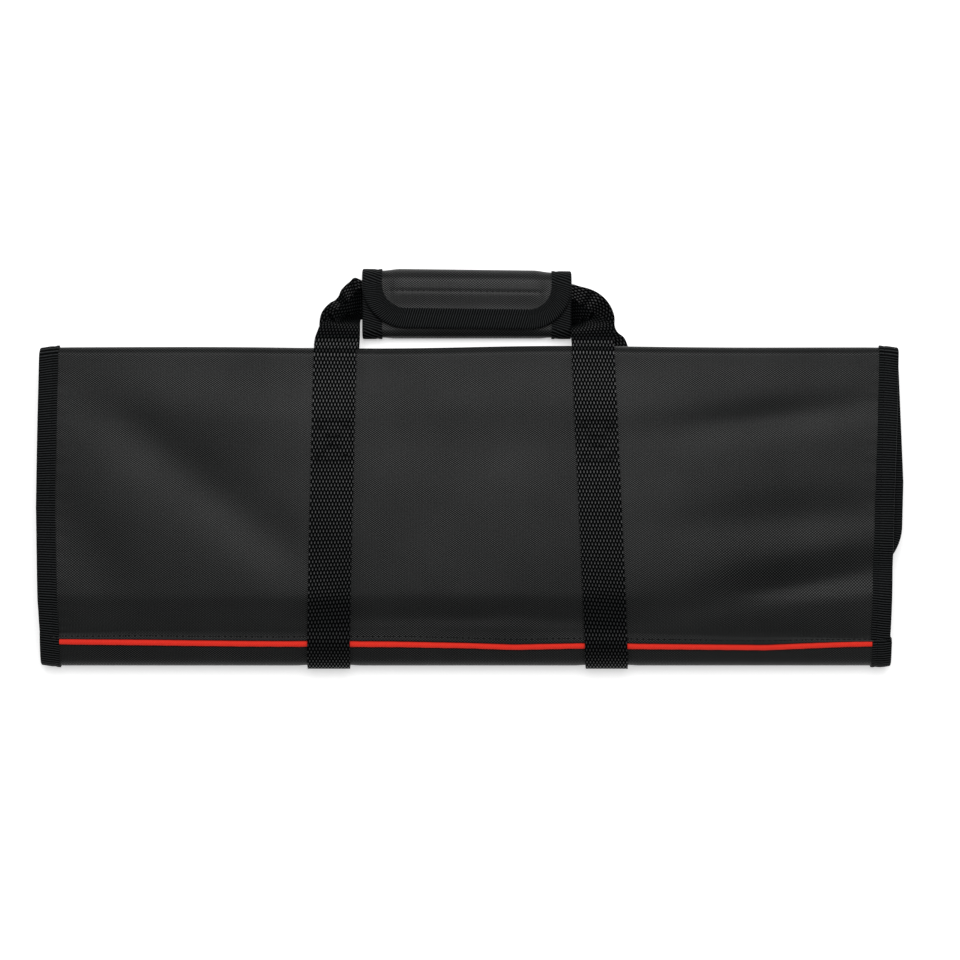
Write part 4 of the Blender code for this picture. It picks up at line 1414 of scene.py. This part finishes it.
    def inside(self, side: Side, shift: float, z: float, shown: float) -> np.ndarray:
        """Return one flat row inside the wrap, a little way in from its end.

        Args:
            side: The wrap's end.
            shift: How far the row lies above the handle's middle.
            z: The row's height.
            shown: The share of the row that lies over its crease.

        Returns:
            The row's four points.
        """
        handle = self.handle
        end = handle.left if side is Side.LEFT else handle.right
        middle = handle.low_y + handle.width / 2 + shift
        y = middle + self.cover.webbing_width / 2 * self.shares(shown)
        x = np.full(4, end - side.value * self.grip_reach)
        return np.stack((x, y, np.full(4, z)), axis=-1)[None]

    def front_half(self, side: Side) -> tuple[np.ndarray, np.ndarray]:
        """Return half of the front webbing: from under the back, round the front, to the handle.

        Args:
            side: The half.

        Returns:
            The rows in metres and the share of each that lies over its crease.
        """
        cover, marks = self.cover, self.cover.path.marks
        segment = (cover.path.s >= marks["top fold"]) & (cover.path.s <= marks["front top"] + 1e-9)
        leave = np.interp(180 - self.leave_angle, cover.path.headings[segment], cover.path.s[segment])
        rows = self.laid(side, np.linspace(marks["back low"] + self.join, float(leave), self.front_rows))
        turn, shares = self.turn(side, self.FRONT[side])
        slope = math.radians(self.leave_angle)
        way = np.array((0.0, math.cos(slope), -math.sin(slope)))
        reach = np.linalg.norm(turn[0] - rows[-1], axis=-1, keepdims=True) / 3
        ahead = unit(turn[1] - turn[0])
        t = np.linspace(0, 1, self.bridge_rows)[1:-1, None, None]
        hull = (rows[-1], rows[-1] + way * reach, turn[0] - ahead * reach, turn[0])
        bridge = ((1 - t) ** 3 * hull[0] + 3 * t * (1 - t) ** 2 * hull[1] + 3 * t * t * (1 - t) * hull[2]
                  + t ** 3 * hull[3])
        last = self.inside(side, self.front_shift, self.handle.front_z, float(shares[-1]))
        flat = np.full(len(rows) + len(bridge), self.FRONT[side][0].shown)
        return np.concatenate((rows, bridge, turn, last)), np.concatenate((flat, shares, shares[-1:]))

    def rear_half(self, side: Side) -> tuple[np.ndarray, np.ndarray]:
        """Return half of the rear webbing: from the join, up the back, to the handle.

        Args:
            side: The half.

        Returns:
            The rows in metres and the share of each that lies over its crease.
        """
        cover, marks = self.cover, self.cover.path.marks
        start = marks["back low"] + self.join + cover.gap
        rows = self.laid(side, np.linspace(start, marks["back top"] - 6 * MM, self.rear_rows))
        rows[..., 2] = cover.webbing / 2
        turn, shares = self.turn(side, self.REAR[side])
        last = self.inside(side, self.rear_shift, self.handle.rear_z, float(shares[-1]))
        flat = np.full(len(rows), self.REAR[side][0].shown)
        return np.concatenate((rows, turn, last)), np.concatenate((flat, shares, shares[-1:]))

    def resample(self, rows: np.ndarray, shown: np.ndarray) -> tuple[np.ndarray, np.ndarray]:
        """Return a fine grid of the webbing's middle and its coordinates across and along.

        Args:
            rows: The webbing's rows: outer edge, both sides of the crease, inner edge.
            shown: The share of each row that lies over its crease.

        Returns:
            The points by row and column, and their coordinates in metres.
        """
        steps = np.linalg.norm(np.diff(rows[:, 0], axis=0), axis=1)
        run = np.concatenate(([0.0], np.cumsum(np.maximum(steps, 1e-9))))
        along = np.linspace(0, run[-1], round(run[-1] / self.fine) + 1)
        fine = np.stack([[np.interp(along, run, rows[:, k, axis]) for axis in range(3)] for k in range(4)])
        edge, over, under, inner = (fine[k].T[:, None] for k in range(4))
        share = np.interp(along, run, shown)[:, None]
        t = np.linspace(0, 1, self.columns + 1)[None, :]
        high = np.clip(t / share, 0, 1)[..., None]
        low = np.clip((t - share) / (1 - share), 0, 1)[..., None]
        grid = np.where((t <= share)[..., None], edge + (over - edge) * high, under + (inner - under) * low)
        across = t[0] * self.cover.webbing_width
        return grid, np.stack(np.broadcast_arrays(across[None, :], along[:, None]), axis=-1)

    def stitched(self, grid: np.ndarray) -> np.ndarray:
        """Return how flat the crossed box of stitches presses the weave, from 0 to 1.

        Args:
            grid: The webbing's middle by row and column.

        Returns:
            The share at each point.
        """
        x, y, z = grid[..., 0], grid[..., 1], grid[..., 2]
        flat = np.zeros(x.shape)
        for side in Side:
            centre = self.box_centre(side)
            dx, dy = x - centre[0], y - centre[1]
            wide, tall = self.box_size[0] / 2, self.box_size[1] / 2
            inside = (np.abs(dx) < wide + 1 * MM) & (np.abs(dy) < tall + 1 * MM) & (z > self.cover.height / 2)
            edge = np.minimum(np.abs(np.abs(dx) - wide), np.abs(np.abs(dy) - tall))
            cross = np.minimum(np.abs(dx / wide - dy / tall), np.abs(dx / wide + dy / tall)) * wide * 0.7
            held = 0.6 * np.exp(-(np.minimum(edge, cross) / (0.75 * MM)) ** 2)
            flat = np.maximum(flat, np.where(inside, held, 0.0))
        return flat

    def box_centre(self, side: Side) -> tuple[float, float]:
        """Return the middle of a strap's box of stitches.

        Args:
            side: The strap.

        Returns:
            Its x and y.
        """
        y = self.box_top - self.box_size[1] / 2
        path = self.cover.path
        front = (path.s > path.marks["front top"]) & (path.s < path.marks["seam"])
        s = np.interp(-y, -path.y[front], path.s[front])
        return float(self.cover.strap_x(side, s)), y

    def piece(self, name: str, node: str, half: Callable[[Side], tuple[np.ndarray, np.ndarray]],
              finish: WovenWebbing, material: bpy.types.Material) -> bpy.types.Object:
        """Build and dress one length of webbing.

        Args:
            name: The piece's name.
            node: The frame's node that it replaces.
            half: Makes the rows of one side.
            finish: The webbing's finish.
            material: The finish's material.

        Returns:
            The new piece.
        """
        (left, left_shown), (right, right_shown) = half(Side.LEFT), half(Side.RIGHT)
        rows = np.concatenate((left, right[::-1]))
        grid, uv = self.resample(rows, np.concatenate((left_shown, right_shown[::-1])))
        normal = -grid_normals(grid)
        # On the loops the weave is drawn flatter and the floats' painted highlight dimmer: painted shade on the
        # loops.
        bent = self.loop_press * smooth((grid[..., 1] - self.cover.top_y) / self.loop_press_reach)
        pressed = np.maximum(self.stitched(grid), bent)
        weave = finish.float_share(uv[..., 0], uv[..., 1]) * (1 - pressed)
        edge = np.exp(-(np.minimum(uv[..., 0], self.cover.webbing_width - uv[..., 0]) / (0.5 * MM)) ** 2)
        half_thick = self.cover.webbing / 2
        height = half_thick - finish.relief * (1 - weave) - self.selvedge * edge
        outer = grid + normal * height[..., None]
        few = grid[:, ::10]
        inner = few - normal[:, ::10] * half_thick
        made = closed_sheet(name, outer[::-1], inner[::-1], uv[::-1], pressed=pressed[::-1])
        settle(made, material, "webbing", node)
        return made

    def build(self, finish: WovenWebbing) -> list[bpy.types.Object]:
        """Build both lengths of webbing.

        Args:
            finish: The webbing's finish.

        Returns:
            The front and the rear piece.
        """
        material = finish.material("woven_webbing")
        return [
            self.piece("front_webbing_strap", "front_webbing", self.front_half, finish, material),
            self.piece("rear_webbing_strap", "rear_webbing", self.rear_half, finish, material),
        ]


@dataclass
class Sewing:
    """The stitches: one is modelled and copied along every sewn line."""

    cover: Cover
    handle: Handle
    carrier: Carrier
    pitch: float = 3.1 * MM
    stitch: float = 2.5 * MM
    thread: float = 0.56 * MM

    def template(self) -> tuple[np.ndarray, list[tuple[int, ...]]]:
        """Model one stitch and return its points and faces.

        Returns:
            The points, with the stitch along X and its top towards Z, and the faces.
        """
        bpy.ops.object.select_all(action="DESELECT")
        bpy.ops.mesh.primitive_uv_sphere_add(segments=6, ring_count=5, radius=0.5)
        bpy.ops.object.mode_set(mode="EDIT")
        bpy.ops.mesh.select_all(action="SELECT")
        bpy.ops.transform.rotate(value=math.pi / 2, orient_axis="Y", center_override=(0, 0, 0))
        bpy.ops.transform.resize(value=(self.stitch, self.thread, self.thread), center_override=(0, 0, 0))
        bpy.ops.object.mode_set(mode="OBJECT")
        made = bpy.context.object
        points = np.array([tuple(v.co) for v in made.data.vertices])
        faces = [tuple(p.vertices) for p in made.data.polygons]
        mesh = made.data
        bpy.data.objects.remove(made)
        bpy.data.meshes.remove(mesh)
        points[:, 2] -= 0.25 * self.thread * (2 * points[:, 0] / self.stitch) ** 2
        return points, faces

    def along(self, line: np.ndarray, normal: np.ndarray) -> list[tuple[np.ndarray, np.ndarray, np.ndarray]]:
        """Return the place, way and normal of each stitch along a line.

        Args:
            line: The line's points.
            normal: The cloth's normal at each point.

        Returns:
            A place, a way and a normal for each stitch.
        """
        run = np.concatenate(([0.0], np.cumsum(np.linalg.norm(np.diff(line, axis=0), axis=1))))
        count = max(1, int(run[-1] / self.pitch))
        middles = (np.arange(count) + 0.5) * run[-1] / count
        spots = []
        for m in middles:
            ends = [
                np.array([np.interp(m + d, run, line[:, k]) for k in range(3)]) for d in (-1 * MM, 0.0, 1 * MM)
            ]
            up = np.array([np.interp(m, run, normal[:, k]) for k in range(3)])
            spots.append((ends[1], ends[2] - ends[0], up))
        return spots

    def on_tape(self, point: PointMap, places: Sequence[EdgePlace], tape: float, lift: float) -> list:
        """Return the stitches along a tape, on both of its faces.

        Args:
            point: The sheet's surface.
            places: The edge's places.
            tape: The tape's width.
            lift: How far the thread lies from the sheet's middle.

        Returns:
            A place, a way and a normal for each stitch.
        """
        reach = tape - Tape.stitch_line
        x = np.array([p.x + p.in_x * reach for p in places])
        s = np.array([p.s + p.in_s * reach for p in places])
        middle, normal = point(x, s), normals_of(point, x, s)
        return [spot for sign in (1, -1) for spot in self.along(middle + sign * lift * normal, sign * normal)]

    def build(self, edge: CoverEdge, finish: SewingThread) -> list[bpy.types.Object]:
        """Build and dress all the stitches.

        Args:
            edge: The cover's binding.
            finish: The thread.

        Returns:
            The stitched lines, a piece for each part that they hold.
        """
        material = finish.material("bonded_thread")
        cover, handle = self.cover, self.handle
        tape_lift = cover.cloth / 2 + cover.gap + cover.tape_thickness - Tape.sink
        rounds = edge.ring()
        tape = self.on_tape(cover.point, rounds + rounds[:1], cover.tape, tape_lift)
        wrap_lift = handle.cloth / 2 + handle.out - Tape.sink
        wrap = self.on_tape(handle.point, handle.places, handle.tape, wrap_lift)
        wrap += self.quilt_line()
        return [
            self.sew("cover_tape_stitches", tape, material, "ribbed_tape"),
            self.sew("handle_wrap_stitches", wrap, material, "ribbed_tape"),
            self.sew("hem_stitches", self.hem_line(), material, "cover_cloth"),
            self.sew("webbing_box_stitches", self.boxes(), material, "webbing"),
        ]

    def quilt_line(self) -> list:
        """Return the stitches of the line across the wrap's flap.

        Returns:
            A place, a way and a normal for each stitch.
        """
        handle = self.handle
        x = np.linspace(handle.left + handle.tape + 2 * MM, handle.right - handle.tape - 6 * MM, 80)
        s = np.full_like(x, handle.path.marks["flap start"] + handle.quilt)
        normal = normals_of(handle.point, x, s)
        lift = handle.cloth / 2 + handle.padding(x, s)
        return self.along(handle.point(x, s) + normal * lift[:, None], normal)

    def hem_line(self) -> list:
        """Return the stitches of the hem above the piping, which run under the straps.

        Returns:
            A place, a way and a normal for each stitch.
        """
        cover = self.cover
        left, right, _ = (float(v) for v in cover.ends(np.array(cover.seam)))
        x = np.linspace(left + cover.tape, right - cover.tape, 300)
        s = np.full_like(x, cover.seam - cover.hem_stitch)
        normal = normals_of(cover.point, x, s)
        lift = cover.cloth / 2 + cover.relief(x, s) + 0.05 * MM
        return self.along(cover.point(x, s) + normal * lift[:, None], normal)

    def boxes(self) -> list:
        """Return the stitches of the crossed box on each strap.

        Returns:
            A place, a way and a normal for each stitch.
        """
        spots = []
        wide, tall = (size / 2 for size in self.carrier.box_size)
        ways = [((-1, 1), (1, 1)), ((1, 1), (1, -1)), ((1, -1), (-1, -1)), ((-1, -1), (-1, 1)),
                ((-1, 1), (1, -1)), ((-1, -1), (1, 1))]
        path = self.cover.path
        front = (path.s > path.marks["front top"]) & (path.s < path.marks["seam"])
        lift = self.cover.webbing_offset + self.cover.webbing / 2 - 0.12 * MM
        for side in Side:
            centre = self.carrier.box_centre(side)
            for start, end in ways:
                t = np.linspace(0, 1, 30)
                x = centre[0] + wide * (start[0] + t * (end[0] - start[0]))
                y = centre[1] + tall * (start[1] + t * (end[1] - start[1]))
                s = np.interp(-y, -path.y[front], path.s[front])
                normal = normals_of(self.cover.point, x, s)
                spots += self.along(self.cover.point(x, s) + normal * lift, normal)
        return spots

    def sew(self, name: str, spots: list, material: bpy.types.Material, slot: str) -> bpy.types.Object:
        """Copy the stitch to every spot and join the copies in one piece.

        Args:
            name: The piece's name.
            spots: A place, a way and a normal for each stitch.
            material: The thread's material.
            slot: The record's material slot.

        Returns:
            The new piece.
        """
        points, faces = self.template()
        places = np.array([spot[0] for spot in spots])
        ways = unit(np.array([spot[1] for spot in spots]))
        ups = np.array([spot[2] for spot in spots])
        ups = unit(ups - ways * np.sum(ups * ways, axis=1, keepdims=True))
        sides = np.cross(ups, ways)
        turned = (points[None, :, 0:1] * ways[:, None] + points[None, :, 1:2] * sides[:, None]
                  + points[None, :, 2:3] * ups[:, None] + places[:, None])
        count = len(points)
        joined = [tuple(v + i * count for v in f) for i in range(len(spots)) for f in faces]
        mesh = bpy.data.meshes.new(name)
        mesh.from_pydata(turned.reshape(-1, 3).tolist(), [], joined)
        mesh.shade_smooth()
        piece = bpy.data.objects.new(name, mesh)
        bpy.context.scene.collection.objects.link(piece)
        settle(piece, material, slot)
        return piece


@dataclass
class Studio:
    """A pale floor, soft light from the handle's side, and a camera straight above."""

    frame_width: float = 0.5645
    centre: tuple[float, float] = (0.0059, -0.0074)
    look_height: float = 0.028
    distance: float = 2.2
    floor_size: float = 9.0
    floor_glow: float = 0.45
    key_place: tuple[float, float, float] = (0.05, 0.66, 1.95)
    key_size: float = 1.2
    key_power: float = 31.0
    sky_strength: float = 0.36
    sensor: float = 36.0

    def build(self) -> None:
        """Set up the floor, the lights and the camera."""
        self.floor()
        self.light("key_softbox", self.key_place, self.key_size, self.key_power)
        world = bpy.data.worlds.new("studio")
        world.use_nodes = True
        back = world.node_tree.nodes["Background"]
        back.inputs["Color"].default_value = (1.0, 1.0, 1.0, 1.0)
        back.inputs["Strength"].default_value = self.sky_strength
        bpy.context.scene.world = world
        bpy.context.scene.view_settings.view_transform = "Standard"
        data = bpy.data.cameras.new("photo_camera")
        data.lens = self.sensor * (self.distance - self.look_height) / self.frame_width
        data.sensor_width = self.sensor
        camera = bpy.data.objects.new("photo_camera", data)
        camera.location = (*self.centre, self.distance)
        bpy.context.scene.collection.objects.link(camera)
        bpy.context.scene.camera = camera

    def floor(self) -> None:
        """Lay the plain pale floor."""
        bpy.ops.object.select_all(action="DESELECT")
        bpy.ops.mesh.primitive_plane_add(size=self.floor_size, location=(0, 0, 0))
        floor = bpy.context.object
        floor.name = "studio_floor"
        material, shader = blank_material("pale_floor")
        shader.inputs["Base Color"].default_value = linear("#f6f6f6")
        shader.inputs["Roughness"].default_value = 0.9
        shader.inputs["Specular IOR Level"].default_value = 0.1
        shader.inputs["Emission Color"].default_value = linear("#ffffff")
        shader.inputs["Emission Strength"].default_value = self.floor_glow
        floor.data.materials.append(material)

    @staticmethod
    def light(name: str, place: tuple[float, float, float], size: float, power: float) -> None:
        """Hang a square softbox that faces the roll.

        Args:
            name: The light's name.
            place: Where it hangs.
            size: Its side in metres.
            power: Its power in watts.
        """
        data = bpy.data.lights.new(name, "AREA")
        data.size = size
        data.energy = power
        lamp = bpy.data.objects.new(name, data)
        lamp.location = place
        lamp.rotation_euler = (-Vector(place)).to_track_quat("-Z", "Y").to_euler()
        bpy.context.scene.collection.objects.link(lamp)


def main() -> None:
    """Dress the whole knife roll and set up the studio."""
    cloth, tape, thread = WovenPolyester(), RibbedTape(), SewingThread()
    Studio().build()
    cover = Cover()
    cover.build(cloth)
    edge = CoverEdge(cover)
    edge.build_tape(tape)
    edge.build_piping(PipingTwill())
    handle = Handle(cover)
    # The wrap's cloth is a lighter, glossier copy of the cover's cloth: painted light that lifts the wrap's
    # shaded lower fold.
    handle.build(WovenPolyester(light="#404141", gloss=0.42), RibbedTape(slant=0.3))
    carrier = Carrier(cover, handle)
    carrier.build(WovenWebbing())
    Sewing(cover, handle, carrier).build(edge, thread)


if __name__ == "__main__":
    main()
